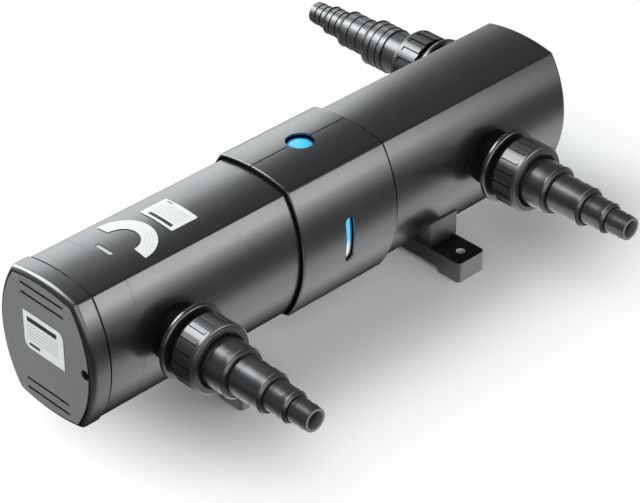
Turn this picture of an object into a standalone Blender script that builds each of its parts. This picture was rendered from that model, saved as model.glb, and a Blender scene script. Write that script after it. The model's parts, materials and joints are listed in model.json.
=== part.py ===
"""UV clarifier for garden ponds: a drawn lamp head, a two-part chamber, a collar and three unions.

The body lies along X with its head at -X, Y runs across it and Z is up. The origin is on the
floor, under the middle of the body. All sizes are in metres.
"""

import math

import bmesh
import bpy

# Fits
FIT = 0.0003
WELD = 0.000001
OVERLAP = 0.0005
SMOOTH_ANGLE = math.radians(35)

# Body section: two bowed sides, two crowned faces, four small corners
BODY_HALF_WIDTH = 0.0508
BODY_HALF_HEIGHT = 0.0575
SIDE_ARC_RADIUS = 0.0927
CROWN_ARC_RADIUS = 0.1448
CORNER_RADIUS = 0.003
SHARP_CORNER_RADIUS = 0.0006
SIDE_STEPS = 4
CORNER_STEPS = 2
CROWN_STEPS = 2
WALL = 0.004
END_WALL = 0.004
END_EDGE_RADIUS = 0.003
ROUNDING_STEPS = 3

# Lengths along the body, from the end cap to the far end
CAP_DEPTH = 0.0171
HEAD_LENGTH = 0.0324
LEFT_LENGTH = 0.1773
RIGHT_LENGTH = 0.2748

# End cap
CAP_PROUD = 0.0012
CAP_WALL = 0.0025
CAP_FACE_WALL = 0.003
CAP_RIM_RADIUS = 0.0025
VENT_LENGTH = 0.047
VENT_WIDTH = 0.0016
VENT_INSET = 0.0109
VENT_PITCH = 0.0084
INLET_INSET = 0.0065
INLET_RADIUS = 0.0042
GLAND_BORE_RADIUS = 0.0032
GLAND_FLANGE = 0.0008
GLAND_FLANGE_DEPTH = 0.002
LABEL_THICKNESS = 0.0003
END_LABEL_WIDTH = 0.0443
END_LABEL_HEIGHT = 0.0321
END_LABEL_CORNER = 0.006
END_LABEL_RISE = 0.0077

# Head shell and its gasket
NECK_WALL = 0.0024
NECK_DEPTH = 0.0103
SPIGOT_WALL = 0.0027
SPIGOT_ROOT = 0.003
SPIGOT_END_GAP = 0.0007
GROOVE_SETBACK = 0.0012
GROOVE_WIDTH = 0.0026
GROOVE_DEPTH = 0.0016

# Lamp, holder and driver in the head
HOLDER_SETBACK = 0.0117
HOLDER_PLATE = 0.003
SOCKET_HALF_WIDTH = 0.020
SOCKET_HALF_HEIGHT = 0.012
LAMP_BASE_LENGTH = 0.024
LAMP_BASE_WIDTH = 0.037
LAMP_BASE_HEIGHT = 0.019
PIN_RADIUS = 0.0012
PIN_LENGTH = 0.006
PIN_PITCH = 0.008
TUBE_RADIUS = 0.00875
TUBE_PITCH = 0.0186
TUBE_TIP_GAP = 0.007
BRIDGE_RADIUS = 0.004
BRIDGE_SETBACK = 0.014
BALLAST_DEPTH = 0.022
BALLAST_SIDE_INSET = 0.0208
BALLAST_TOP_INSET = 0.0215
BALLAST_BEVEL = 0.002
SWITCH_WIDTH = 0.016
SWITCH_HEIGHT = 0.010
SWITCH_TOP_INSET = 0.009
SWITCH_BODY_LENGTH = 0.0152
PLUNGER_RADIUS = 0.002

# Quartz sleeve, its seal, nut and support
SLEEVE_RADIUS = 0.023
SLEEVE_WALL = 0.0015
SLEEVE_END_GAP = 0.033
SLEEVE_PROUD = 0.001
O_RING_SECTION = 0.00125
SLEEVE_NUT_LENGTH = 0.0064
SLEEVE_NUT_WALL = 0.0062
NUT_SEAT_WALL = 0.0025
SUPPORT_WALL = 0.0032
SUPPORT_REACH = 0.018
SUPPORT_RING = 0.006
SUPPORT_LEG_WIDTH = 0.012
LOCATOR_LENGTH = 0.003
LOCATOR_WALL = 0.003

# Chamber halves and the joint between them
BULKHEAD_DEPTH = 0.012
BULKHEAD_WALL = 0.004
JOINT_SEAL = 0.002
JOINT_SEAL_INSET = 0.0005
RIM_PROUD = 0.0018
RIM_LENGTH = 0.005

# Latch, labels and half-ring on top of the left chamber
LATCH_LENGTH = 0.0166
LATCH_WIDTH = 0.0032
LATCH_RECESS = 0.0008
LATCH_LIP = 0.001
LATCH_LIP_DEPTH = 0.0015
LATCH_STEM = 0.0023
TOP_LABEL_SETBACK = 0.059
TOP_LABEL_LENGTH = 0.0253
TOP_LABEL_WIDTH = 0.035
TOP_LABEL_OFFSET = 0.0015
TOP_LABEL_CORNER = 0.003
SCALE_SETBACK = 0.0247
SCALE_RADIUS = 0.0265
SCALE_BAND = 0.012

# Collar over the joint
COLLAR_LEFT = 0.0218
COLLAR_RIGHT = 0.0749
COLLAR_STAND_OFF = 0.004
COLLAR_WALL = 0.0018
COLLAR_RIB = 0.0034
COLLAR_LIP = 0.003
COLLAR_SPLIT = 0.003
LENS_SETBACK = 0.0276
LENS_RADIUS = 0.0099
LENS_RECESS = 0.0013
LENS_FLANGE = 0.0026
LENS_FLANGE_DEPTH = 0.0015
LENS_SURROUND = 0.0015
WINDOW_SETBACK = 0.0254
WINDOW_WIDTH = 0.0084
WINDOW_LENGTH = 0.0394
WINDOW_DROP = 0.0008
WINDOW_RECESS = 0.001
WINDOW_DEPTH = 0.003

# Hose unions
LEFT_HOSE_WEB = 0.0007
RIGHT_HOSE_SETBACK = 0.0877
REAR_HOSE_SETBACK = 0.0242
BOSS_RADIUS = 0.0227
BOSS_LENGTH = 0.0147
BOSS_BORE = 0.014
RING_RADIUS = 0.0308
RING_LENGTH = 0.0045
SPIGOT_RADIUS = 0.025
SPIGOT_LENGTH = 0.013
SEAL_BAND = 0.0045
SEAL_THICKNESS = 0.0024
FLANGE_LENGTH = 0.004
NUT_GAP = 0.0005
NUT_SKIRT_WALL = 0.0017
NUT_SKIRT_LENGTH = 0.005
NUT_GROOVE_WALL = 0.002
NUT_RIB_HEIGHT = 0.0007
NUT_RIB_COUNT = 18
NUT_RIB_TURN = math.radians(4.5)
NUT_GROOVE_SETBACK = 0.003
NUT_RIM_WALL = 0.0044
NUT_RIM_LENGTH = 0.0023
NUT_RIM_CHAMFER = 0.0006
NUT_WEB = 0.0084
NUT_OPENING = 0.002
TAIL_RADII = (0.020, 0.016, 0.0125, 0.010)
TAIL_LENGTHS = (0.0245, 0.0322, 0.0215, 0.0195)
TAIL_WALL = 0.0025
TAIL_BARBS = 3
BARB_DEPTH = 0.0006
FRONT_SHANK = 0.0054
REAR_SHANK = 0.0268
STEP_CHAMFER = 0.0012

# Feet
FOOT_SPACING = 0.234
FOOT_WIDTH = 0.030
FOOT_LENGTH = 0.1496
FOOT_THICKNESS = 0.0184
FOOT_CORNER = 0.004
FOOT_ARCH = 0.0034
FOOT_PAD_LENGTH = 0.0223
FOOT_HOLE_INSET = 0.0125
FOOT_HOLE_RADIUS = 0.0032
BODY_CLEARANCE = 0.0051
SADDLE_DROP = 0.040
SADDLE_LAND = 0.0012
SCREW_INSET = 0.0036
SCREW_RADIUS = 0.0018
SCREW_GRIP = 0.009
SCREW_HEAD_RADIUS = 0.0036
SCREW_HEAD_HEIGHT = 0.0025
SCREW_HEAD_RECESS = 0.004

# Facets of the turned pieces
TURN_STEPS = 20
NUT_TURN_STEPS = 24
SLEEVE_TURN_STEPS = 16
SMALL_TURN_STEPS = 10

# Stations worked out from the sizes above
BODY_LENGTH = CAP_DEPTH + HEAD_LENGTH + LEFT_LENGTH + RIGHT_LENGTH
CAP_FACE = -BODY_LENGTH / 2
CAP_SEAM = CAP_FACE + CAP_DEPTH
HEAD_SEAM = CAP_SEAM + HEAD_LENGTH
JOINT = HEAD_SEAM + LEFT_LENGTH
FAR_END = JOINT + RIGHT_LENGTH
BULKHEAD = HEAD_SEAM + BULKHEAD_DEPTH
LEFT_HOSE = BULKHEAD + BULKHEAD_WALL + LEFT_HOSE_WEB + BOSS_BORE
RIGHT_HOSE = FAR_END - RIGHT_HOSE_SETBACK
REAR_HOSE = FAR_END - REAR_HOSE_SETBACK
AXIS_HEIGHT = FOOT_THICKNESS + BODY_CLEARANCE + BODY_HALF_HEIGHT
RING_BASE = BODY_HALF_WIDTH + BOSS_LENGTH
RING_FACE = RING_BASE + RING_LENGTH
SPIGOT_FACE = RING_FACE + SPIGOT_LENGTH
SEAL_FACE = SPIGOT_FACE + FIT + SEAL_THICKNESS
FLANGE_BASE = SEAL_FACE + FIT
FLANGE_FACE = FLANGE_BASE + FLANGE_LENGTH
NUT_BACK = RING_FACE + NUT_GAP
NUT_FRONT = FLANGE_FACE + FIT + NUT_WEB
NUT_GROOVE_END = NUT_FRONT - NUT_RIM_LENGTH - NUT_GROOVE_SETBACK
SLEEVE_BORE = SLEEVE_RADIUS - SLEEVE_WALL
SLEEVE_TIP = FAR_END - END_WALL - SLEEVE_END_GAP
NUT_SEAT_RADIUS = SLEEVE_RADIUS + FIT + SLEEVE_NUT_WALL + FIT
HOLDER_FACE = HEAD_SEAM - HOLDER_SETBACK
LATCH_X = BULKHEAD - FIT - LATCH_LIP - LATCH_WIDTH / 2
LENS_X = JOINT + LENS_SETBACK
WINDOW_X = JOINT + WINDOW_SETBACK
LAMP_BASE_BACK = HEAD_SEAM + 2 * FIT

# Turns that point a piece's own Z along the body or out of a hose boss
ALONG_BODY = (0, math.pi / 2, 0)
FACING_HEAD = (math.pi / 2, 0, math.pi / 2)
OUT_FRONT = (math.pi / 2, 0, 0)
OUT_REAR = (-math.pi / 2, 0, 0)
ON_AXIS = (0, 0, AXIS_HEIGHT)

for old in list(bpy.data.objects):
    bpy.data.objects.remove(old)

parts = bpy.data.collections.new("uv_clarifier")
cutters = bpy.data.collections.new("uv_clarifier_cutters")
bpy.context.scene.collection.children.link(parts)
bpy.context.scene.collection.children.link(cutters)


def finish(name, colour, roughness, metallic=0.0):
    """Makes a plain material."""
    material = bpy.data.materials.new(name)
    material.use_nodes = True
    shader = material.node_tree.nodes["Principled BSDF"]
    shader.inputs["Base Color"].default_value = (*colour, 1.0)
    shader.inputs["Roughness"].default_value = roughness
    shader.inputs["Metallic"].default_value = metallic
    return material


SHELL = finish("charcoal_shell", (0.035, 0.036, 0.038), 0.38)
CAP = finish("cap_grey", (0.16, 0.165, 0.165), 0.5)
FITTING = finish("fitting_black", (0.022, 0.023, 0.025), 0.35)
FOOT = finish("foot_black", (0.025, 0.026, 0.028), 0.42)
RUBBER = finish("seal_rubber", (0.015, 0.015, 0.015), 0.8)
LABEL = finish("label_white", (0.86, 0.87, 0.86), 0.45)
BUTTON = finish("latch_grey", (0.55, 0.56, 0.57), 0.4)
BLUE = finish("indicator_blue", (0.08, 0.55, 0.95), 0.15)
WINDOW = finish("window_clear", (0.62, 0.85, 0.97), 0.15)
QUARTZ = finish("quartz", (0.88, 0.92, 0.93), 0.05)
LAMP = finish("lamp_glass", (0.92, 0.93, 0.94), 0.1)
IVORY = finish("lamp_ivory", (0.80, 0.78, 0.70), 0.45)
DRIVER = finish("driver_case", (0.30, 0.31, 0.32), 0.55)
STEEL = finish("screw_steel", (0.62, 0.62, 0.62), 0.3, 1.0)


def baked(drawn):
    """Turns a drawn object into one welded mesh with smooth rounds, and removes the drawing."""
    cutters.objects.link(drawn)
    graph = bpy.context.evaluated_depsgraph_get()
    mesh = bpy.data.meshes.new_from_object(drawn.evaluated_get(graph))
    bpy.data.objects.remove(drawn)
    body = bmesh.new()
    body.from_mesh(mesh)
    bmesh.ops.remove_doubles(body, verts=body.verts, dist=WELD)
    bmesh.ops.recalc_face_normals(body, faces=body.faces)
    body.to_mesh(mesh)
    body.free()
    return rounded_off(mesh)


def rounded_off(mesh):
    """Shades a mesh smooth, with its true edges sharp."""
    mesh.shade_smooth()
    mesh.set_sharp_from_angle(angle=SMOOTH_ANGLE)
    return mesh


def solid(name, mesh, material, location=(0, 0, 0), rotation=(0, 0, 0)):
    """Adds a finished piece."""
    mesh.materials.clear()
    mesh.materials.append(material)
    piece = bpy.data.objects.new(name, mesh)
    piece.location = location
    piece.rotation_euler = rotation
    parts.objects.link(piece)
    return piece


def cutter(name, mesh, location=(0, 0, 0), rotation=(0, 0, 0)):
    """Adds a hidden shape that cuts or joins a piece."""
    tool = bpy.data.objects.new(name, mesh)
    tool.location = location
    tool.rotation_euler = rotation
    tool.hide_render = True
    tool.display_type = "WIRE"
    cutters.objects.link(tool)
    return tool


def combine(piece, tool, operation):
    """Cuts, joins or crosses a piece with a hidden shape."""
    step = piece.modifiers.new(tool.name, "BOOLEAN")
    step.operation = operation
    step.solver = "EXACT"
    step.object = tool


def cut(piece, *tools):
    for tool in tools:
        combine(piece, tool, "DIFFERENCE")


def join(piece, *tools):
    for tool in tools:
        combine(piece, tool, "UNION")


def section_points(offset):
    """Points round the body section as (y, z) from its axis, moved out by the offset."""
    side_radius = SIDE_ARC_RADIUS + offset
    crown_radius = CROWN_ARC_RADIUS + offset
    corner = max(CORNER_RADIUS + offset, SHARP_CORNER_RADIUS)
    side_y = BODY_HALF_WIDTH - SIDE_ARC_RADIUS
    crown_z = BODY_HALF_HEIGHT - CROWN_ARC_RADIUS
    apart = math.hypot(side_y, crown_z)
    side_reach = side_radius - corner
    crown_reach = crown_radius - corner
    along = (side_reach ** 2 - crown_reach ** 2 + apart ** 2) / (2 * apart)
    across = math.sqrt(side_reach ** 2 - along ** 2)
    unit_y = -side_y / apart
    unit_z = crown_z / apart
    corner_y = side_y + along * unit_y - across * unit_z
    corner_z = along * unit_z + across * unit_y
    side_end = math.atan2(corner_z, corner_y - side_y)
    crown_start = math.atan2(corner_z - crown_z, corner_y)
    quarter = arc((side_y, 0), side_radius, 0, side_end, SIDE_STEPS)[:-1]
    quarter += arc((corner_y, corner_z), corner, side_end, crown_start, CORNER_STEPS)
    quarter += arc((0, crown_z), crown_radius, crown_start, math.pi / 2, CROWN_STEPS)[1:]
    half = quarter + [(-y, z) for y, z in reversed(quarter[:-1])]
    return half + [(y, -z) for y, z in reversed(half[1:-1])]


def arc(centre, radius, start, stop, steps):
    """Points along an arc, both ends counted."""
    points = []
    for step in range(steps + 1):
        angle = start + (stop - start) * step / steps
        points.append((centre[0] + radius * math.cos(angle), centre[1] + radius * math.sin(angle)))
    return points


def side_at(height, offset=0.0):
    """Half-width of the body section at a height from its axis."""
    reach = math.sqrt((SIDE_ARC_RADIUS + offset) ** 2 - height ** 2)
    return BODY_HALF_WIDTH - SIDE_ARC_RADIUS + reach


def crown_at(across, offset=0.0):
    """Half-height of the body section at a distance from its mid-plane."""
    reach = math.sqrt((CROWN_ARC_RADIUS + offset) ** 2 - across ** 2)
    return BODY_HALF_HEIGHT - CROWN_ARC_RADIUS + reach


def lofted(name, stations, hollow):
    """Lofts body sections through (x, offset) stations: a hollow wall, or a solid with two ends."""
    body = bmesh.new()
    rings = []
    for x, offset in stations:
        rings.append([body.verts.new((x, y, AXIS_HEIGHT + z)) for y, z in section_points(offset)])
    pairs = list(zip(rings, rings[1:]))
    if hollow:
        pairs.append((rings[-1], rings[0]))
    else:
        body.faces.new(rings[0])
        body.faces.new(rings[-1])
    for ring, after in pairs:
        for index in range(len(ring)):
            following = (index + 1) % len(ring)
            body.faces.new((ring[index], ring[following], after[following], after[index]))
    bmesh.ops.recalc_face_normals(body, faces=body.faces)
    mesh = bpy.data.meshes.new(name)
    body.to_mesh(mesh)
    body.free()
    return rounded_off(mesh)


def edge_stations(face, inward, offset, radius):
    """Stations that round the outer edge of an end face, from the face to the full section."""
    stations = []
    for step in range(ROUNDING_STEPS + 1):
        angle = math.pi / 2 * step / ROUNDING_STEPS
        x = face + inward * radius * (1 - math.cos(angle))
        stations.append((x, offset - radius * (1 - math.sin(angle))))
    return stations


def ring_band(start, stop, inner, outer):
    """Stations of a plain hollow band."""
    return [(start, outer), (stop, outer), (stop, inner), (start, inner)]


def turned(name, profile, steps, ring=True):
    """Turns (radius, height) points about Z; they run down the outer side, then up the inner."""
    mesh = bpy.data.meshes.new(name)
    edges = [(index, index + 1) for index in range(len(profile) - 1)]
    if ring:
        edges.append((len(profile) - 1, 0))
    mesh.from_pydata([(radius, 0, height) for radius, height in profile], edges, [])
    drawn = bpy.data.objects.new(name, mesh)
    turn = drawn.modifiers.new("Turn", "SCREW")
    turn.axis = "Z"
    turn.angle = math.tau
    turn.steps = steps
    turn.render_steps = steps
    turn.use_merge_vertices = True
    turn.merge_threshold = WELD
    return baked(drawn)


def rod(name, radius, start, stop, steps):
    """A plain round rod about Z."""
    return turned(name, [(0, stop), (radius, stop), (radius, start), (0, start)], steps, ring=False)


def tube(name, inner, outer, start, stop, steps):
    """A plain round tube about Z."""
    profile = [(outer, stop), (outer, start), (inner, start), (inner, stop)]
    return turned(name, profile, steps)


def plate(name, outlines, thickness):
    """A flat plate in XY from closed outlines, centred on its thickness."""
    curve = bpy.data.curves.new(name, "CURVE")
    curve.dimensions = "2D"
    curve.fill_mode = "BOTH"
    curve.extrude = thickness / 2
    for outline in outlines:
        spline = curve.splines.new("POLY")
        spline.points.add(len(outline) - 1)
        spline.use_cyclic_u = True
        for point, (x, y) in zip(spline.points, outline):
            point.co = (x, y, 0, 1)
    return baked(bpy.data.objects.new(name, curve))


def box(name, low, high):
    """A box between two corners."""
    body = bmesh.new()
    bmesh.ops.create_cube(body, size=1)
    for vert in body.verts:
        vert.co = [low[i] + (vert.co[i] + 0.5) * (high[i] - low[i]) for i in range(3)]
    mesh = bpy.data.meshes.new(name)
    body.to_mesh(mesh)
    body.free()
    return mesh


def rounded_outline(half_length, half_width, radii):
    """A rectangle with its own radius at each corner, from the lower left one round."""
    corners = ((-1, -1), (1, -1), (1, 1), (-1, 1))
    points = []
    for turn, ((x, y), radius) in enumerate(zip(corners, radii)):
        start = math.pi + turn * math.pi / 2
        centre = (x * (half_length - radius), y * (half_width - radius))
        if radius:
            points += arc(centre, radius, start, start + math.pi / 2, ROUNDING_STEPS)
        else:
            points.append(centre)
    return points


def slot_outline(half_length, half_width):
    """A slot along X with round ends."""
    straight = half_length - half_width
    right = arc((straight, 0), half_width, -math.pi / 2, math.pi / 2, 2 * ROUNDING_STEPS)
    left = arc((-straight, 0), half_width, math.pi / 2, 1.5 * math.pi, 2 * ROUNDING_STEPS)
    return right + left


def circle_outline(centre, radius, steps):
    return arc(centre, radius, 0, math.tau, steps)[:-1]


def build_end_cap():
    """Cup over the head's neck, with vent slots and a cable inlet in its face."""
    inner = CAP_PROUD - CAP_WALL
    stations = edge_stations(CAP_FACE, 1, CAP_PROUD, CAP_RIM_RADIUS)
    stations += [(CAP_SEAM, CAP_PROUD), (CAP_SEAM, inner), (CAP_FACE + CAP_FACE_WALL, inner)]
    cap = solid("end_cap", lofted("end_cap", stations, hollow=False), CAP)
    for side in (1, -1):
        for row in range(2):
            z = AXIS_HEIGHT + side * (BODY_HALF_HEIGHT - VENT_INSET - row * VENT_PITCH)
            slot = plate("vent", [slot_outline(VENT_LENGTH / 2, VENT_WIDTH / 2)], 3 * CAP_FACE_WALL)
            cut(cap, cutter("vent_cut", slot, (CAP_FACE, 0, z), FACING_HEAD))
    inlet_y = INLET_INSET - BODY_HALF_WIDTH
    hole = rod("inlet", INLET_RADIUS, -CAP_FACE_WALL, 2 * CAP_FACE_WALL, SMALL_TURN_STEPS)
    cut(cap, cutter("inlet_cut", hole, (CAP_FACE, inlet_y, AXIS_HEIGHT), ALONG_BODY))

    flange_start = CAP_FACE_WALL + FIT
    flange_stop = flange_start + GLAND_FLANGE_DEPTH
    barrel = INLET_RADIUS - FIT
    flange = INLET_RADIUS + GLAND_FLANGE
    profile = [(flange, flange_stop), (flange, flange_start), (barrel, flange_start), (barrel, 0)]
    profile += [(GLAND_BORE_RADIUS, 0), (GLAND_BORE_RADIUS, flange_stop)]
    bush = turned("cable_gland", profile, SMALL_TURN_STEPS)
    solid("cable_gland", bush, RUBBER, (CAP_FACE, inlet_y, AXIS_HEIGHT), ALONG_BODY)

    radii = (END_LABEL_CORNER, 0, END_LABEL_CORNER, 0)
    outline = rounded_outline(END_LABEL_WIDTH / 2, END_LABEL_HEIGHT / 2, radii)
    place = (CAP_FACE - FIT - LABEL_THICKNESS / 2, 0, AXIS_HEIGHT + END_LABEL_RISE)
    solid("end_label", plate("end_label", [outline], LABEL_THICKNESS), LABEL, place, FACING_HEAD)


def build_head_shell():
    """Short tube with a neck under the cap and a spigot with a gasket inside the chamber."""
    neck_outer = CAP_PROUD - CAP_WALL - FIT
    neck_inner = neck_outer - NECK_WALL
    neck_start = CAP_SEAM - NECK_DEPTH
    shoulder = CAP_SEAM + FIT
    end = HEAD_SEAM - FIT
    spigot_outer = -WALL - FIT
    spigot_inner = spigot_outer - SPIGOT_WALL
    spigot_end = BULKHEAD - SPIGOT_END_GAP
    root = end - SPIGOT_ROOT
    groove_start = end + GROOVE_SETBACK
    groove_stop = groove_start + GROOVE_WIDTH
    groove_floor = spigot_outer - GROOVE_DEPTH
    stations = [(neck_start, neck_outer), (shoulder, neck_outer), (shoulder, 0), (end, 0)]
    stations += [(end, spigot_outer), (groove_start, spigot_outer), (groove_start, groove_floor)]
    stations += [(groove_stop, groove_floor), (groove_stop, spigot_outer)]
    stations += [(spigot_end, spigot_outer), (spigot_end, spigot_inner), (root, spigot_inner)]
    stations += [(root, -WALL), (shoulder + OVERLAP, -WALL), (shoulder + OVERLAP, neck_inner)]
    stations += [(neck_start, neck_inner)]
    shell = solid("head_shell", lofted("head_shell", stations, hollow=True), SHELL)
    notch_half = LATCH_LENGTH / 2 + LATCH_LIP + 2 * FIT
    notch_low = (LATCH_X - LATCH_WIDTH / 2 - LATCH_LIP - 2 * FIT, -notch_half, AXIS_HEIGHT)
    notch_high = (BULKHEAD, notch_half, AXIS_HEIGHT + BODY_HALF_HEIGHT)
    cut(shell, cutter("notch_cut", box("notch", notch_low, notch_high)))

    band = ring_band(groove_start + FIT, groove_stop - FIT, groove_floor + FIT, spigot_outer)
    solid("head_gasket", lofted("head_gasket", band, hollow=True), RUBBER)


def build_lamp():
    """Holder plate with its socket, the twin tube lamp, the driver and the head switch."""
    plate_offset = -WALL - FIT
    plate_back = HOLDER_FACE - HOLDER_PLATE
    stations = [(plate_back, plate_offset), (HOLDER_FACE, plate_offset)]
    holder = solid("lamp_holder", lofted("lamp_holder", stations, hollow=False), IVORY)
    socket_low = (HOLDER_FACE - OVERLAP, -SOCKET_HALF_WIDTH, AXIS_HEIGHT - SOCKET_HALF_HEIGHT)
    socket_high = (LAMP_BASE_BACK - FIT, SOCKET_HALF_WIDTH, AXIS_HEIGHT + SOCKET_HALF_HEIGHT)
    join(holder, cutter("socket_join", box("socket", socket_low, socket_high)))

    half_width = LAMP_BASE_WIDTH / 2
    half_height = LAMP_BASE_HEIGHT / 2
    base_front = LAMP_BASE_BACK + LAMP_BASE_LENGTH
    base_low = (LAMP_BASE_BACK, -half_width, AXIS_HEIGHT - half_height)
    base_high = (base_front, half_width, AXIS_HEIGHT + half_height)
    base = solid("lamp_base", box("lamp_base", base_low, base_high), IVORY)
    for pin in range(4):
        y = (pin - 1.5) * PIN_PITCH
        place = (LAMP_BASE_BACK, y, AXIS_HEIGHT)
        post = rod("pin", PIN_RADIUS, -PIN_LENGTH, OVERLAP, SMALL_TURN_STEPS)
        join(base, cutter("pin_join", post, place, ALONG_BODY))
        hole = rod("pin_hole", PIN_RADIUS + FIT, -PIN_LENGTH - FIT, OVERLAP, SMALL_TURN_STEPS)
        cut(holder, cutter("pin_cut", hole, place, ALONG_BODY))

    tip = SLEEVE_TIP - SLEEVE_WALL - TUBE_TIP_GAP
    shoulder = tip - TUBE_RADIUS / 2
    profile = [(0, tip), (TUBE_RADIUS / 2, tip), (TUBE_RADIUS, shoulder)]
    profile += [(TUBE_RADIUS, base_front + FIT), (0, base_front + FIT)]
    near = turned("tube", profile, SMALL_TURN_STEPS, ring=False)
    place = (0, -TUBE_PITCH / 2, AXIS_HEIGHT)
    lamp = solid("lamp_tubes", near, LAMP, place, ALONG_BODY)
    far = turned("tube", profile, SMALL_TURN_STEPS, ring=False)
    bridge = rod("bridge", BRIDGE_RADIUS, -TUBE_PITCH / 2, TUBE_PITCH / 2, SMALL_TURN_STEPS)
    bridge_place = (tip - BRIDGE_SETBACK, 0, AXIS_HEIGHT)
    join(lamp, cutter("tube_join", far, (0, TUBE_PITCH / 2, AXIS_HEIGHT), ALONG_BODY))
    join(lamp, cutter("bridge_join", bridge, bridge_place, OUT_FRONT))

    half_y = BODY_HALF_WIDTH - BALLAST_SIDE_INSET
    half_z = BODY_HALF_HEIGHT - BALLAST_TOP_INSET
    back = plate_back - FIT - BALLAST_DEPTH
    low = (back, -half_y, AXIS_HEIGHT - half_z)
    high = (plate_back - FIT, half_y, AXIS_HEIGHT + half_z)
    edge = solid("ballast", box("ballast", low, high), DRIVER).modifiers.new("Edges", "BEVEL")
    edge.width = BALLAST_BEVEL
    edge.segments = 1

    top = AXIS_HEIGHT + BODY_HALF_HEIGHT - SWITCH_TOP_INSET
    start = HOLDER_FACE + FIT
    stop = start + SWITCH_BODY_LENGTH
    case = box("switch", (start, -SWITCH_WIDTH / 2, top - SWITCH_HEIGHT), (stop, SWITCH_WIDTH / 2, top))
    switch = solid("safety_switch", case, DRIVER)
    plunger = rod("plunger", PLUNGER_RADIUS, stop - OVERLAP, BULKHEAD - 2 * FIT, SMALL_TURN_STEPS)
    join(switch, cutter("plunger_join", plunger, (0, 0, top - SWITCH_HEIGHT / 2), ALONG_BODY))


def build_sleeve():
    """Quartz sleeve with its seal, clamp nut and the cradle at its closed end."""
    nut_stop = BULKHEAD - FIT
    nut_start = nut_stop - SLEEVE_NUT_LENGTH
    open_end = nut_start - SLEEVE_PROUD
    dome = arc((0, SLEEVE_TIP - SLEEVE_RADIUS), SLEEVE_RADIUS, math.pi / 2, 0, ROUNDING_STEPS)
    hollow = arc((0, SLEEVE_TIP - SLEEVE_RADIUS), SLEEVE_BORE, 0, math.pi / 2, ROUNDING_STEPS)
    dome[0] = (0, SLEEVE_TIP)
    hollow[-1] = (0, SLEEVE_TIP - SLEEVE_WALL)
    profile = dome + [(SLEEVE_RADIUS, open_end), (SLEEVE_BORE, open_end)] + hollow
    glass = turned("quartz_sleeve", profile, SLEEVE_TURN_STEPS, ring=False)
    solid("quartz_sleeve", glass, QUARTZ, ON_AXIS, ALONG_BODY)

    seal_radius = SLEEVE_RADIUS + FIT + O_RING_SECTION
    seal_x = BULKHEAD + FIT + O_RING_SECTION
    section = arc((seal_radius, seal_x), O_RING_SECTION, math.pi / 2, -1.5 * math.pi, 8)[:-1]
    solid("sleeve_o_ring", turned("sleeve_o_ring", section, SLEEVE_TURN_STEPS), RUBBER, ON_AXIS, ALONG_BODY)

    inner = SLEEVE_RADIUS + FIT
    clamp = tube("sleeve_nut", inner, inner + SLEEVE_NUT_WALL, nut_start, nut_stop, SLEEVE_TURN_STEPS)
    solid("sleeve_nut", clamp, FITTING, ON_AXIS, ALONG_BODY)

    start = SLEEVE_TIP - SUPPORT_REACH
    stop = FAR_END - END_WALL - FIT
    cage = tube("sleeve_support", inner, inner + SUPPORT_WALL, start, stop, SLEEVE_TURN_STEPS)
    support = solid("sleeve_support", cage, FITTING, ON_AXIS, ALONG_BODY)
    reach = inner + 2 * SUPPORT_WALL
    open_low = start + SUPPORT_RING
    open_high = stop - SUPPORT_RING
    half = (inner - SUPPORT_LEG_WIDTH / 2) / math.sqrt(2)
    low = (open_low, -half, AXIS_HEIGHT - reach)
    high = (open_high, half, AXIS_HEIGHT + reach)
    cut(support, cutter("upright_window_cut", box("upright_window", low, high)))
    low = (open_low, -reach, AXIS_HEIGHT - half)
    high = (open_high, reach, AXIS_HEIGHT + half)
    cut(support, cutter("level_window_cut", box("level_window", low, high)))


def boss_shapes(name, hose_x, out):
    """The outer shape of a hose boss, and the bore through it."""
    root = side_at(BOSS_RADIUS) - OVERLAP
    profile = [(0, SPIGOT_FACE), (SPIGOT_RADIUS, SPIGOT_FACE), (SPIGOT_RADIUS, RING_FACE)]
    profile += [(RING_RADIUS, RING_FACE), (RING_RADIUS, RING_BASE), (BOSS_RADIUS, RING_BASE)]
    profile += [(BOSS_RADIUS, root), (0, root)]
    place = (hose_x, 0, AXIS_HEIGHT)
    outside = turned(name + "_boss", profile, TURN_STEPS, ring=False)
    inside = rod(name + "_bore", BOSS_BORE, root - WALL, SPIGOT_FACE + WALL, TURN_STEPS)
    return cutter(name + "_boss_join", outside, place, out), cutter(name + "_bore_cut", inside, place, out)


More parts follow.
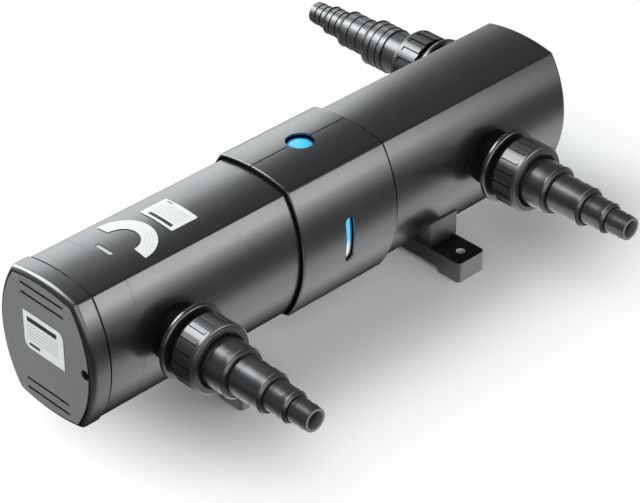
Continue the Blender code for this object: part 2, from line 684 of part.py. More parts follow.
def build_left_chamber():
    """Chamber half with the bulkhead that holds the sleeve, the near boss and the latch slot."""
    end = JOINT - JOINT_SEAL / 2 - FIT
    rim = end - RIM_LENGTH
    stations = [(HEAD_SEAM, 0), (rim, 0), (rim, RIM_PROUD), (end, RIM_PROUD)]
    stations += [(end, -WALL), (HEAD_SEAM, -WALL)]
    chamber = solid("housing_left", lofted("housing_left", stations, hollow=True), SHELL)
    wet_face = BULKHEAD + BULKHEAD_WALL
    wall = [(BULKHEAD, OVERLAP - WALL), (wet_face, OVERLAP - WALL)]
    seat_start = BULKHEAD - FIT - SLEEVE_NUT_LENGTH
    seat_outer = NUT_SEAT_RADIUS + NUT_SEAT_WALL
    seat = tube("seat", NUT_SEAT_RADIUS, seat_outer, seat_start, BULKHEAD + OVERLAP, SLEEVE_TURN_STEPS)
    boss, bore = boss_shapes("left", LEFT_HOSE, OUT_FRONT)
    join(chamber, cutter("bulkhead_join", lofted("bulkhead", wall, hollow=False)))
    join(chamber, cutter("seat_join", seat, ON_AXIS, ALONG_BODY), boss)

    hole = SLEEVE_RADIUS + FIT
    counterbore = hole + 2 * O_RING_SECTION + FIT
    ledge = BULKHEAD + 2 * O_RING_SECTION + 2 * FIT
    profile = [(0, wet_face + WALL), (hole, wet_face + WALL), (hole, ledge), (counterbore, ledge)]
    profile += [(counterbore, BULKHEAD - OVERLAP), (0, BULKHEAD - OVERLAP)]
    opening = turned("sleeve_hole", profile, SLEEVE_TURN_STEPS, ring=False)
    slot = plate("latch_slot", [slot_outline(LATCH_LENGTH / 2 + FIT, LATCH_WIDTH / 2 + FIT)], 4 * WALL)
    slot_place = (LATCH_X, 0, AXIS_HEIGHT + BODY_HALF_HEIGHT)
    cut(chamber, cutter("sleeve_hole_cut", opening, ON_AXIS, ALONG_BODY), bore)
    cut(chamber, cutter("latch_slot_cut", slot, slot_place, (0, 0, math.pi / 2)))


def build_right_chamber():
    """Chamber half with the closed far end, two bosses, the lens hole and the window slot."""
    start = JOINT + JOINT_SEAL / 2 + FIT
    rim = start + RIM_LENGTH
    stations = edge_stations(FAR_END, -1, 0, END_EDGE_RADIUS)
    stations += [(rim, 0), (rim, RIM_PROUD), (start, RIM_PROUD), (start, -WALL)]
    stations += [(FAR_END - END_WALL, -WALL)]
    chamber = solid("housing_right", lofted("housing_right", stations, hollow=False), SHELL)
    right_boss, right_bore = boss_shapes("right", RIGHT_HOSE, OUT_FRONT)
    rear_boss, rear_bore = boss_shapes("rear", REAR_HOSE, OUT_REAR)
    wall = FAR_END - END_WALL
    locator = tube("locator", SLEEVE_RADIUS - LOCATOR_WALL, SLEEVE_RADIUS, wall - LOCATOR_LENGTH,
                   wall + OVERLAP, SLEEVE_TURN_STEPS)
    join(chamber, right_boss, rear_boss, cutter("locator_join", locator, ON_AXIS, ALONG_BODY))

    lens_place = (LENS_X, COLLAR_SPLIT, AXIS_HEIGHT + BODY_HALF_HEIGHT)
    lens_hole = rod("lens_hole", LENS_RADIUS + FIT, -2 * WALL, WALL, TURN_STEPS)
    cut(chamber, right_bore, rear_bore, cutter("lens_hole_cut", lens_hole, lens_place))
    cut(chamber, window_slot("window_hole", FIT))

    low_wall = crown_at(COLLAR_SPLIT + LENS_RADIUS + LENS_FLANGE) - BODY_HALF_HEIGHT - WALL
    flange_top = low_wall - FIT
    flange = LENS_RADIUS + LENS_FLANGE
    base = flange_top - LENS_FLANGE_DEPTH
    profile = [(0, -LENS_RECESS), (LENS_RADIUS, -LENS_RECESS), (LENS_RADIUS, flange_top)]
    profile += [(flange, flange_top), (flange, base), (0, base)]
    disc = turned("indicator_lens", profile, TURN_STEPS, ring=False)
    solid("indicator_lens", disc, BLUE, lens_place)

    inner = -WINDOW_RECESS - WINDOW_DEPTH
    band = ring_band(WINDOW_X - WINDOW_WIDTH, WINDOW_X + WINDOW_WIDTH, inner, -WINDOW_RECESS)
    strip = solid("slot_window", lofted("slot_window", band, hollow=True), WINDOW)
    combine(strip, window_slot("window_trim", 0), "INTERSECT")


def window_slot(name, clearance):
    """An upright slot through the front side, at the light window."""
    outline = slot_outline(WINDOW_LENGTH / 2 + clearance, WINDOW_WIDTH / 2 + clearance)
    prism = plate(name, [outline], 2 * BODY_HALF_WIDTH)
    place = (WINDOW_X, -BODY_HALF_WIDTH * 1.5, AXIS_HEIGHT - WINDOW_DROP)
    return cutter(name + "_cut", prism, place, (math.pi / 2, math.pi / 2, 0))


def build_joint_seal():
    """Flat seal between the two chamber halves."""
    inner = JOINT_SEAL_INSET - WALL
    outer = RIM_PROUD - JOINT_SEAL_INSET
    band = ring_band(JOINT - JOINT_SEAL / 2, JOINT + JOINT_SEAL / 2, inner, outer)
    solid("body_seal", lofted("body_seal", band, hollow=True), RUBBER)


def build_collar():
    """Two shells that grip the rims of the chamber halves, split along the top and bottom."""
    start = JOINT - COLLAR_LEFT
    stop = JOINT + COLLAR_RIGHT
    inner = COLLAR_STAND_OFF - COLLAR_WALL
    rib_near = JOINT_SEAL / 2 + RIM_LENGTH + 2 * FIT
    rib_far = rib_near + COLLAR_RIB
    stations = [(start, COLLAR_STAND_OFF), (stop, COLLAR_STAND_OFF), (stop, FIT)]
    stations += [(stop - COLLAR_LIP, FIT), (stop - COLLAR_LIP, inner)]
    for near, far in ((JOINT + rib_far, JOINT + rib_near), (JOINT - rib_near, JOINT - rib_far)):
        stations += [(near, inner), (near, FIT), (far, FIT), (far, inner)]
    stations += [(start, inner)]
    reach = BODY_HALF_WIDTH + 2 * COLLAR_STAND_OFF
    tall = BODY_HALF_HEIGHT + 2 * COLLAR_STAND_OFF
    lens_hole = rod("collar_lens_hole", LENS_RADIUS + LENS_SURROUND, 0, 2 * COLLAR_STAND_OFF, TURN_STEPS)
    lens_place = (LENS_X, COLLAR_SPLIT, AXIS_HEIGHT + BODY_HALF_HEIGHT - COLLAR_STAND_OFF)
    lens_cut = cutter("collar_lens_cut", lens_hole, lens_place)
    for name, side in (("collar_front", -1), ("collar_rear", 1)):
        shell = solid(name, lofted(name, stations, hollow=True), SHELL)
        face = COLLAR_SPLIT + side * FIT / 2
        low = (start - COLLAR_WALL, min(face, -side * reach), AXIS_HEIGHT - tall)
        high = (stop + COLLAR_WALL, max(face, -side * reach), AXIS_HEIGHT + tall)
        cut(shell, cutter(name + "_split_cut", box(name + "_split", low, high)), lens_cut)
        if side < 0:
            cut(shell, window_slot("collar_window", FIT))


def curved_sticker(name, outline, x, y, start, stop):
    """A thin sticker that follows the crowned top, trimmed to an outline seen from above."""
    band = ring_band(start, stop, FIT, FIT + LABEL_THICKNESS)
    sticker = solid(name, lofted(name, band, hollow=True), LABEL)
    prism = plate(name + "_trim", [outline], 2 * BODY_HALF_HEIGHT)
    place = (x, y, AXIS_HEIGHT + BODY_HALF_HEIGHT * 1.5)
    combine(sticker, cutter(name + "_trim", prism, place), "INTERSECT")


def build_top_trim():
    """Latch button, blank label and half-ring scale on top of the left chamber."""
    top = AXIS_HEIGHT + BODY_HALF_HEIGHT
    lip_half = LATCH_LENGTH / 2 + LATCH_LIP
    lip_top = AXIS_HEIGHT + crown_at(lip_half) - WALL - FIT
    press_top = top - LATCH_RECESS
    press_low = lip_top - LATCH_STEM
    outline = slot_outline(LATCH_LENGTH / 2, LATCH_WIDTH / 2)
    press = plate("head_latch", [outline], press_top - press_low)
    press_place = (LATCH_X, 0, (press_top + press_low) / 2)
    latch = solid("head_latch", press, BUTTON, press_place, (0, 0, math.pi / 2))
    lip = plate("latch_lip", [slot_outline(lip_half, LATCH_WIDTH / 2 + LATCH_LIP)], LATCH_LIP_DEPTH)
    lip_place = (LATCH_X, 0, lip_top - LATCH_LIP_DEPTH / 2)
    join(latch, cutter("latch_lip_join", lip, lip_place, (0, 0, math.pi / 2)))

    radii = (TOP_LABEL_CORNER,) * 4
    outline = rounded_outline(TOP_LABEL_LENGTH / 2, TOP_LABEL_WIDTH / 2, radii)
    start = HEAD_SEAM + TOP_LABEL_SETBACK
    stop = start + TOP_LABEL_LENGTH
    middle = (start + stop) / 2
    curved_sticker("top_label", outline, middle, TOP_LABEL_OFFSET, start - WALL, stop + WALL)

    outer = arc((0, 0), SCALE_RADIUS, -math.pi / 2, math.pi / 2, 4 * ROUNDING_STEPS)
    inner = arc((0, 0), SCALE_RADIUS - SCALE_BAND, math.pi / 2, -math.pi / 2, 4 * ROUNDING_STEPS)
    centre = HEAD_SEAM + SCALE_SETBACK
    curved_sticker("scale_ring", outer + inner, centre, 0, centre - WALL, centre + SCALE_RADIUS + WALL)


def tail_profile(shank):
    """Outer side of a hose tail from its tip to its flange, then the bore back to the tip."""
    shank_end = FLANGE_FACE + shank
    tip = shank_end + sum(TAIL_LENGTHS)
    outside = []
    inside = [(TAIL_RADII[0] - TAIL_WALL, FLANGE_BASE)]
    top = tip
    for radius, length in reversed(list(zip(TAIL_RADII, TAIL_LENGTHS))):
        outside.append((radius - BARB_DEPTH - STEP_CHAMFER, top))
        barb = length / TAIL_BARBS
        for index in range(TAIL_BARBS):
            crest = top - (index + 1) * barb
            foot = top - index * barb - (STEP_CHAMFER if index == 0 else 0)
            outside += [(radius - BARB_DEPTH, foot), (radius, crest)]
        top -= length
    base = shank_end
    for radius, smaller, length in zip(TAIL_RADII, TAIL_RADII[1:], TAIL_LENGTHS):
        base += length
        step = base - TAIL_WALL
        inside += [(radius - TAIL_WALL, step), (smaller - TAIL_WALL, step)]
    inside.append((TAIL_RADII[-1] - TAIL_WALL, tip))
    flange = SPIGOT_RADIUS - FIT
    shank_radius = TAIL_RADII[0] - BARB_DEPTH
    outside += [(shank_radius, shank_end), (shank_radius, FLANGE_FACE), (flange, FLANGE_FACE)]
    return outside + [(flange, FLANGE_BASE)] + inside


def nut_mesh():
    """Union nut blank: skirt, band for the ribs, front rim, thread bore and front opening."""
    bore = SPIGOT_RADIUS + FIT
    opening = TAIL_RADII[0] + NUT_OPENING
    skirt = bore + NUT_SKIRT_WALL
    crest = bore + NUT_GROOVE_WALL + NUT_RIB_HEIGHT
    rim = opening + NUT_RIM_WALL
    skirt_stop = NUT_BACK + NUT_SKIRT_LENGTH
    rim_start = NUT_FRONT - NUT_RIM_LENGTH
    web = FLANGE_FACE + FIT
    profile = [(rim - NUT_RIM_CHAMFER, NUT_FRONT), (rim, NUT_FRONT - NUT_RIM_CHAMFER), (rim, rim_start)]
    profile += [(crest, rim_start), (crest, skirt_stop), (skirt, skirt_stop), (skirt, NUT_BACK)]
    profile += [(bore, NUT_BACK), (bore, web), (opening, web), (opening, NUT_FRONT)]
    return turned("union_nut", profile, NUT_TURN_STEPS)


def nut_grooves():
    """Shapes that cut the grooves between the ribs of a union nut."""
    floor = SPIGOT_RADIUS + FIT + NUT_GROOVE_WALL
    clear = floor + 2 * NUT_RIB_HEIGHT
    pitch = math.tau / NUT_RIB_COUNT
    outlines = []
    for rib in range(NUT_RIB_COUNT):
        start = NUT_RIB_TURN + rib * pitch
        stop = start + pitch / 2
        outlines.append(arc((0, 0), floor, start, stop, 1) + arc((0, 0), clear, stop, start, 1))
    return plate("nut_grooves", outlines, NUT_GROOVE_END - NUT_BACK)


def build_unions():
    """Flat seal, hose tail and ribbed nut at each boss."""
    groove_middle = (NUT_GROOVE_END + NUT_BACK) / 2
    seal_inner = TAIL_RADII[0] - TAIL_WALL
    unions = (("left", LEFT_HOSE, OUT_FRONT, FRONT_SHANK), ("right", RIGHT_HOSE, OUT_FRONT, FRONT_SHANK),
              ("rear", REAR_HOSE, OUT_REAR, REAR_SHANK))
    for name, x, out, shank in unions:
        place = (x, 0, AXIS_HEIGHT)
        washer = tube("union_seal_" + name, seal_inner, seal_inner + SEAL_BAND, SPIGOT_FACE + FIT, SEAL_FACE,
                      TURN_STEPS)
        solid("union_seal_" + name, washer, RUBBER, place, out)
        tail = turned("hose_tail_" + name, tail_profile(shank), TURN_STEPS)
        solid("hose_tail_" + name, tail, FITTING, place, out)
        nut = solid("union_nut_" + name, nut_mesh(), FITTING, place, out)
        grooves = cutter("nut_grooves_" + name, nut_grooves(), (0, 0, groove_middle))
        grooves.parent = nut
        cut(nut, grooves)


def build_feet():
    """Cross bars with arched undersides, the saddles on them and the screws between."""
    half_width = FOOT_WIDTH / 2
    half_length = FOOT_LENGTH / 2
    hole_y = half_length - FOOT_HOLE_INSET
    saddle_half = side_at(SADDLE_DROP) + FIT + SADDLE_LAND
    saddle_base = FOOT_THICKNESS + FIT
    screw_y = saddle_half - SCREW_INSET
    head_face = FOOT_ARCH + SCREW_HEAD_RECESS
    for name, x in (("left", -FOOT_SPACING / 2), ("right", FOOT_SPACING / 2)):
        outline = rounded_outline(half_width, half_length, (FOOT_CORNER,) * 4)
        holes = [circle_outline((0, side * hole_y), FOOT_HOLE_RADIUS, SMALL_TURN_STEPS) for side in (-1, 1)]
        slab = plate("foot_bar_" + name, [outline] + holes, FOOT_THICKNESS)
        bar = solid("foot_bar_" + name, slab, FOOT, (x, 0, FOOT_THICKNESS / 2))
        arch_half = half_length - FOOT_PAD_LENGTH
        arch = [(-arch_half, -FOOT_ARCH), (arch_half, -FOOT_ARCH), (arch_half, 0)]
        arch += [(arch_half - FOOT_ARCH, FOOT_ARCH), (FOOT_ARCH - arch_half, FOOT_ARCH), (-arch_half, 0)]
        underside = plate("foot_arch", [arch], 2 * FOOT_WIDTH)
        cut(bar, cutter("foot_arch_cut", underside, (x, 0, 0), FACING_HEAD))

        low = (x - half_width, -saddle_half, saddle_base)
        high = (x + half_width, saddle_half, AXIS_HEIGHT - SADDLE_DROP)
        saddle = solid("saddle_" + name, box("saddle_" + name, low, high), FOOT)
        bed = [(x - FOOT_WIDTH, FIT), (x + FOOT_WIDTH, FIT)]
        cut(saddle, cutter("saddle_bed_cut", lofted("saddle_bed", bed, hollow=False)))

        for number, side in ((1, -1), (2, 1)):
            place = (x, side * screw_y, 0)
            tip = saddle_base + SCREW_GRIP
            head_top = head_face + SCREW_HEAD_HEIGHT
            profile = [(0, tip), (SCREW_RADIUS, tip), (SCREW_RADIUS, head_top), (SCREW_HEAD_RADIUS, head_top)]
            profile += [(SCREW_HEAD_RADIUS, head_face), (0, head_face)]
            screw = turned("foot_screw", profile, SMALL_TURN_STEPS, ring=False)
            solid("foot_screw_%s_%d" % (name, number), screw, STEEL, place)
            clear = SCREW_RADIUS + FIT
            sink = SCREW_HEAD_RADIUS + FIT
            sink_top = head_top + FIT
            profile = [(0, tip + FIT), (clear, tip + FIT), (clear, sink_top), (sink, sink_top)]
            profile += [(sink, 0), (0, 0)]
            hole = turned("screw_hole", profile, SMALL_TURN_STEPS, ring=False)
            drill = cutter("screw_hole_cut", hole, place)
            cut(bar, drill)
            cut(saddle, drill)


build_end_cap()
build_head_shell()
build_lamp()
build_sleeve()
build_left_chamber()
build_right_chamber()
build_joint_seal()
build_collar()
build_top_trim()
build_unions()
build_feet()
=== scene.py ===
import json
import math

import bmesh
import bpy
from mathutils import Matrix, Vector

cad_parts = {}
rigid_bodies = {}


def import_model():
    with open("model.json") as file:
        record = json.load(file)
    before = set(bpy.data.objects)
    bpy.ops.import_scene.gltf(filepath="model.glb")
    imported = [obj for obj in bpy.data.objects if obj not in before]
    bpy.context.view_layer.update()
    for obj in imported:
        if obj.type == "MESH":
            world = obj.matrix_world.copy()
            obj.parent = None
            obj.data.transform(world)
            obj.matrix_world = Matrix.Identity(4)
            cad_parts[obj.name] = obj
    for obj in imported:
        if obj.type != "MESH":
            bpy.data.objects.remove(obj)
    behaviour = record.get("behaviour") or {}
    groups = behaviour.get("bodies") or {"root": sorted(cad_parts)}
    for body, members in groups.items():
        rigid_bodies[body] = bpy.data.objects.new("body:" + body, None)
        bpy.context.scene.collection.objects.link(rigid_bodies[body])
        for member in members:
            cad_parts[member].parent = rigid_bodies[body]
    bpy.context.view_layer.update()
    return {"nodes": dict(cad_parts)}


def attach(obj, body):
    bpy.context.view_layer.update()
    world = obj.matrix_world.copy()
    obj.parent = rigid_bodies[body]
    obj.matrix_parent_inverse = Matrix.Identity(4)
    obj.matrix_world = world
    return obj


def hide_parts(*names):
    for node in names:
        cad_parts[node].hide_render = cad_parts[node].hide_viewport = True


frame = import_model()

# Studio
# The object stands on a pale sheet in a dim room with a bright horizon. Soft lamps hang high at
# the back and by the camera, and low ones stand at the front right, behind and at the back right.
scene = bpy.context.scene
scene.view_settings.view_transform = "Standard"
AIM = Vector((0.02195, 0, 0.03297))
TOWARDS_CAMERA = Vector((-0.5740, -0.5890, 0.5689))
CAMERA_DISTANCE = 1.9785
CAMERA_LENS = 142.15
SHEET_RADIUS = 9.0
SHEET_RIM = 4.0
SHEET_HEIGHT = -0.0002
SHADOW_MIDDLE = 0.07
SHADOW_HALF = 0.2
SHADOW_END_RATE = 1.6
SHADOW_SPAN = (0.05, 0.22)
# The sheet's painted reflection: glossy rays see a painted band of light in front of and behind the body,
# painted shade under it, and less light towards the cap end.
CAP_SPAN = (-0.30, -0.15)
CAP_SHARE = 0.2
GLOW_RATE = 4.0
GLOW_STOPS = ((0.0, 0.02), (0.12, 0.03), (0.18, 0.3), (0.26, 1.0), (0.52, 1.0), (0.66, 0.42),
              (0.88, 0.18), (1.0, 0.18))
HORIZON_STOPS = ((0.0, 1.2), (0.1, 1.1), (0.2, 0.66), (0.3, 0.3), (0.45, 0.0), (1.0, 0.0))
UPPER_SKY = 0.13
RIGHT_FADE = (0.55, 0.85, 1.0, 0.15)
LEFT_FADE = (-0.75, -0.5, 0.12, 1.0)


class Signal:
    """A shader socket that takes part in Python sums."""

    def __init__(self, tree, socket):
        self.tree = tree
        self.socket = socket

    def node(self, kind, settings=None, sockets=None, output=0):
        """Adds a node: its settings first, then the values or links of its sockets."""
        made = self.tree.nodes.new(kind)
        for setting, value in (settings or {}).items():
            setattr(made, setting, value)
        for place, value in (sockets or {}).items():
            if isinstance(value, Signal):
                self.tree.links.new(value.socket, made.inputs[place])
            else:
                made.inputs[place].default_value = value
        return Signal(self.tree, made.outputs[output])

    def maths(self, operation, first, second=0.0):
        return self.node("ShaderNodeMath", {"operation": operation}, {0: first, 1: second})

    def __add__(self, other):
        return self.maths("ADD", self, other)

    __radd__ = __add__

    def __sub__(self, other):
        return self.maths("SUBTRACT", self, other)

    def __rsub__(self, other):
        return self.maths("SUBTRACT", other, self)

    def __mul__(self, other):
        return self.maths("MULTIPLY", self, other)

    __rmul__ = __mul__

    def __lt__(self, other):
        return self.maths("LESS_THAN", self, other)

    def __abs__(self):
        return self.maths("ABSOLUTE", self)

    def axis(self, name):
        """One coordinate of a vector."""
        return self.node("ShaderNodeSeparateXYZ", {}, {0: self}, output="XYZ".index(name))

    def blend(self, first, second):
        """A colour between two, with this signal as the share of the second."""
        return self.node("ShaderNodeMix", {"data_type": "RGBA"}, {0: self, 6: first, 7: second}, output=2)

    def noise(self, scale, detail):
        """Cloudy grain over this vector."""
        return self.node("ShaderNodeTexNoise", {}, {"Vector": self, "Scale": scale, "Detail": detail})

    def stretched(self, scale):
        """This vector drawn out by its own scale on each axis."""
        return self.node("ShaderNodeMapping", {"vector_type": "TEXTURE"}, {"Vector": self, "Scale": scale})

    def moved(self, shift):
        """This vector with a shift added."""
        return self.node("ShaderNodeMapping", {}, {"Vector": self, "Location": shift})

    def reach(self, factors):
        """The length of this vector, once each axis is times its own factor."""
        scaled = self.node("ShaderNodeVectorMath", {"operation": "MULTIPLY"}, {0: self, 1: factors})
        return self.node("ShaderNodeVectorMath", {"operation": "LENGTH"}, {0: scaled}, output=1)

    def between(self, low, high, first=0.0, last=1.0, kind="SMOOTHSTEP"):
        """How far this value is from low to high, given as a share from first to last."""
        return self.node("ShaderNodeMapRange", {"interpolation_type": kind}, {
            "Value": self, "From Min": low, "From Max": high, "To Min": first, "To Max": last})

    def levels(self, stops):
        """The grey at this value on a ramp of (position, level) stops."""
        read = self.node("ShaderNodeValToRGB", {}, {"Fac": self})
        ramp = read.socket.node.color_ramp.elements
        while len(ramp) < len(stops):
            ramp.new(1.0)
        for stop, (position, level) in zip(ramp, stops):
            stop.position = position
            stop.color = (level, level, level, 1.0)
        return read

    def relief(self, strength, distance):
        """A bump with this height."""
        return self.node("ShaderNodeBump", {}, {
            "Strength": strength, "Distance": distance, "Height": self})


def finish(name, fixed, recipe):
    """Makes a material: fixed values on the shader's sockets, and what varies from a recipe."""
    made = bpy.data.materials.new(name)
    made.use_nodes = True
    tree = made.node_tree
    shader = tree.nodes["Principled BSDF"]
    for socket, value in fixed.items():
        shader.inputs[socket].default_value = value
    place = Signal(tree, tree.nodes.new("ShaderNodeTexCoord").outputs["Object"])
    for socket, signal in recipe(place).items():
        tree.links.new(signal.socket, shader.inputs[socket])
    return made


def sheet_finish(place):
    """Matt paper with a faint mottle."""
    mottle = place.noise(3.0, 2.0)
    return {"Base Color": mottle.blend((0.93, 0.935, 0.94, 1), (0.95, 0.955, 0.955, 1))}


bpy.ops.object.select_all(action="DESELECT")
bpy.ops.mesh.primitive_circle_add(
    vertices=96, radius=SHEET_RADIUS, fill_type="NGON", location=(0, 0, SHEET_HEIGHT))
floor = bpy.context.object
floor.name = "studio_floor"
bpy.ops.object.mode_set(mode="EDIT")
bpy.ops.mesh.inset(thickness=SHEET_RIM, depth=0.0)
bpy.ops.object.mode_set(mode="OBJECT")
sheet = finish("studio_sheet", {"Roughness": 0.9, "Specular IOR Level": 0.1}, sheet_finish)
tree = sheet.node_tree
paper_side = Signal(tree, tree.nodes["Principled BSDF"].outputs[0])
rays = tree.nodes.new("ShaderNodeLightPath")
seen = Signal(tree, rays.outputs["Is Camera Ray"])
mirrored = Signal(tree, rays.outputs["Is Glossy Ray"])
through = Signal(tree, rays.outputs["Is Transmission Ray"])
spread = Signal(tree, tree.nodes.new("ShaderNodeTexCoord").outputs["Object"])
x = spread.axis("X")
y = spread.axis("Y")
past_ends = x.maths("MAXIMUM", abs(x - SHADOW_MIDDLE) - SHADOW_HALF, 0.0)
reach = spread.node("ShaderNodeCombineXYZ", {}, {0: past_ends, 1: y}).reach((SHADOW_END_RATE, 1, 0))
# Painted reflection: glossy rays see this level, with painted shade under the body, a painted band of light
# beyond it, and less towards the cap end.
level = (abs(y) * GLOW_RATE).levels(GLOW_STOPS) * x.between(*CAP_SPAN, CAP_SHARE)
share = mirrored + through + seen * reach.between(*SHADOW_SPAN)
direct = seen + through
white_side = share.node("ShaderNodeEmission", {}, {
    "Color": direct + (1 - direct) * level, "Strength": 1.0})
both = share.node("ShaderNodeMixShader", {}, {0: share, 1: paper_side, 2: white_side})
tree.links.new(both.socket, tree.nodes["Material Output"].inputs["Surface"])
floor.data.materials.append(sheet)

room = bpy.data.worlds.new("studio_room")
room.use_nodes = True
scene.world = room
tree = room.node_tree
sky = Signal(tree, tree.nodes.new("ShaderNodeTexCoord").outputs["Generated"])
lean = sky.maths("DIVIDE", sky.axis("X"), sky.reach((1, 1, 0)))
side = lean.between(*RIGHT_FADE, "LINEAR") * lean.between(*LEFT_FADE, "LINEAR")
glow = sky.axis("Z").levels(HORIZON_STOPS) * side
watched = Signal(tree, tree.nodes.new("ShaderNodeLightPath").outputs["Is Camera Ray"])
room_tone = watched + (1 - watched) * (glow + UPPER_SKY)
tree.links.new(room_tone.socket, tree.nodes["Background"].inputs["Color"])


def lamp(name, towards, distance, width, height, radiance, tint):
    """A soft box that faces the object; its radiance is in the same units as the colours."""
    direction = Vector(towards).normalized()
    bpy.ops.object.light_add(type="AREA", location=AIM + direction * distance)
    box = bpy.context.object
    box.name = name
    box.rotation_euler = direction.to_track_quat("Z", "Y").to_euler()
    box.data.shape = "RECTANGLE"
    box.data.size = width
    box.data.size_y = height
    box.data.energy = radiance * math.pi * width * height
    box.data.color = tint


COOL = (0.94, 0.98, 1.0)
WARM = (1.0, 0.995, 0.975)
lamp("key_softbox", (-0.25, 0.62, 0.74), 2.0, 1.1, 1.1, 7.2, COOL)
lamp("rim_softbox", (-0.18, 0.92, 0.36), 2.2, 1.0, 1.0, 6.0, COOL)
lamp("front_softbox", (0.397, -0.852, 0.342), 2.2, 1.2, 0.7, 3.7, WARM)
lamp("back_softbox", (0.366, 0.836, 0.407), 2.2, 1.3, 0.8, 2.0, COOL)
lamp("high_softbox", (0.34, 0.687, 0.643), 2.2, 1.1, 0.8, 0.4, COOL)
lamp("camera_softbox", (-0.45, -0.70, 0.60), 2.2, 2.0, 2.0, 1.4, WARM)

bpy.ops.object.camera_add(location=AIM + TOWARDS_CAMERA.normalized() * CAMERA_DISTANCE)
camera = bpy.context.object
camera.rotation_euler = TOWARDS_CAMERA.to_track_quat("Z", "Y").to_euler()
camera.data.lens = CAMERA_LENS
camera.data.sensor_width = 36.0
camera.data.clip_end = 60.0
scene.camera = camera

# Near chamber half
# A moulded charcoal tube of bowed section, with a bulkhead inside for the quartz sleeve, a round
# hose boss on its front and a slot for the latch on top. The far rim is gripped by the collar.
AXIS = 0.081
HALF_WIDTH = 0.0508
HALF_HEIGHT = 0.0575
SIDE_ARC_RADIUS = 0.0927
CROWN_ARC_RADIUS = 0.1448
CORNER_RADIUS = 0.003
SHARP_CORNER = 0.0006
SIDE_STEPS = 26
CROWN_STEPS = 22
CORNER_STEPS = 5
WALL = 0.004
FIT = 0.0003
WELD = 0.000002
POINT = 0.0001
SPREAD = 0.05
HEAD_SEAM = -0.2013
BULKHEAD = -0.1893
BULKHEAD_WALL = 0.004
JOINT = -0.024
JOINT_GAP = 0.0013
RIM_PROUD = 0.0018
RIM_LENGTH = 0.005
LEFT_HOSE = -0.1706
LATCH_X = -0.1922
LATCH_HALF_WIDTH = 0.0016
LATCH_HALF_LENGTH = 0.0083
LATCH_REACH = 0.008
BODY_TOP = AXIS + HALF_HEIGHT
SOFT_LIMIT = math.radians(42)
SMOOTH_LIMIT = math.radians(32)
ROUND_END = 0.499


def named(name):
    """Names the piece that has just been added."""
    piece = bpy.context.object
    piece.name = name
    piece.data.name = name
    return piece


def select_only(piece):
    """Makes a piece the active one and the only one selected."""
    bpy.ops.object.select_all(action="DESELECT")
    piece.select_set(True)
    bpy.context.view_layer.objects.active = piece


def open_up(piece):
    """Opens a piece in edit mode with all of it selected."""
    select_only(piece)
    bpy.ops.object.mode_set(mode="EDIT")
    bpy.ops.mesh.select_all(action="SELECT")


def begin(name, place=(0, 0, 0)):
    """Starts a piece as a single selected point, in edit mode."""
    bpy.ops.object.select_all(action="DESELECT")
    bpy.ops.mesh.primitive_plane_add(size=POINT, location=(0, 0, 0))
    piece = named(name)
    bpy.ops.object.mode_set(mode="EDIT")
    bpy.ops.mesh.merge(type="CENTER")
    bpy.ops.transform.translate(value=place)
    return piece


def pick(piece, kind, test):
    """Selects the vertices or edges of a piece in edit mode that pass a test."""
    bpy.ops.mesh.select_mode(type=kind)
    bpy.ops.mesh.select_all(action="DESELECT")
    body = bmesh.from_edit_mesh(piece.data)
    group = {"VERT": body.verts, "EDGE": body.edges}[kind]
    group.index_update()
    for element in group:
        if test(element):
            element.select_set(True)
    body.select_flush_mode()
    bmesh.update_edit_mesh(piece.data)


def close_up():
    """Welds the mesh in edit mode, points its faces outwards and goes back to object mode."""
    bpy.ops.mesh.select_mode(type="VERT")
    bpy.ops.mesh.select_all(action="SELECT")
    bpy.ops.mesh.remove_doubles(threshold=WELD)
    bpy.ops.mesh.normals_make_consistent(inside=False)
    bpy.ops.object.mode_set(mode="OBJECT")


def draw_section(x, offset):
    """Draws the body's outline at a station as eight arcs, spun end to end from one point."""
    side_radius = SIDE_ARC_RADIUS + offset
    crown_radius = CROWN_ARC_RADIUS + offset
    corner = max(CORNER_RADIUS + offset, SHARP_CORNER)
    side_y = HALF_WIDTH - SIDE_ARC_RADIUS
    crown_z = HALF_HEIGHT - CROWN_ARC_RADIUS
    apart = math.hypot(side_y, crown_z)
    side_reach = side_radius - corner
    crown_reach = crown_radius - corner
    along = (side_reach ** 2 - crown_reach ** 2 + apart ** 2) / (2 * apart)
    across = math.sqrt(side_reach ** 2 - along ** 2)
    corner_y = side_y - along * side_y / apart - across * crown_z / apart
    corner_z = along * crown_z / apart - across * side_y / apart
    side_end = math.atan2(corner_z, corner_y - side_y)
    crown_end = math.atan2(corner_z - crown_z, corner_y)
    arcs = []
    for turn in (0, math.pi):
        flip = math.cos(turn)
        arcs += [
            (flip * side_y, 0, turn - side_end, turn + side_end, SIDE_STEPS),
            (flip * corner_y, flip * corner_z, turn + side_end, turn + crown_end, CORNER_STEPS),
            (0, flip * crown_z, turn + crown_end, turn + math.pi - crown_end, CROWN_STEPS),
            (-flip * corner_y, flip * corner_z, turn - crown_end, turn - side_end, CORNER_STEPS),
        ]
    start = (x, side_y + side_radius * math.cos(side_end), AXIS - side_radius * math.sin(side_end))
    bpy.ops.mesh.primitive_plane_add(size=POINT, location=start)
    bpy.ops.mesh.merge(type="CENTER")
    for y, z, first, last, steps in arcs:
        bpy.ops.mesh.spin(steps=steps, angle=first - last, center=(x, y, AXIS + z), axis=(1, 0, 0))
    bpy.ops.mesh.select_linked()
    bpy.ops.mesh.remove_doubles(threshold=WELD)


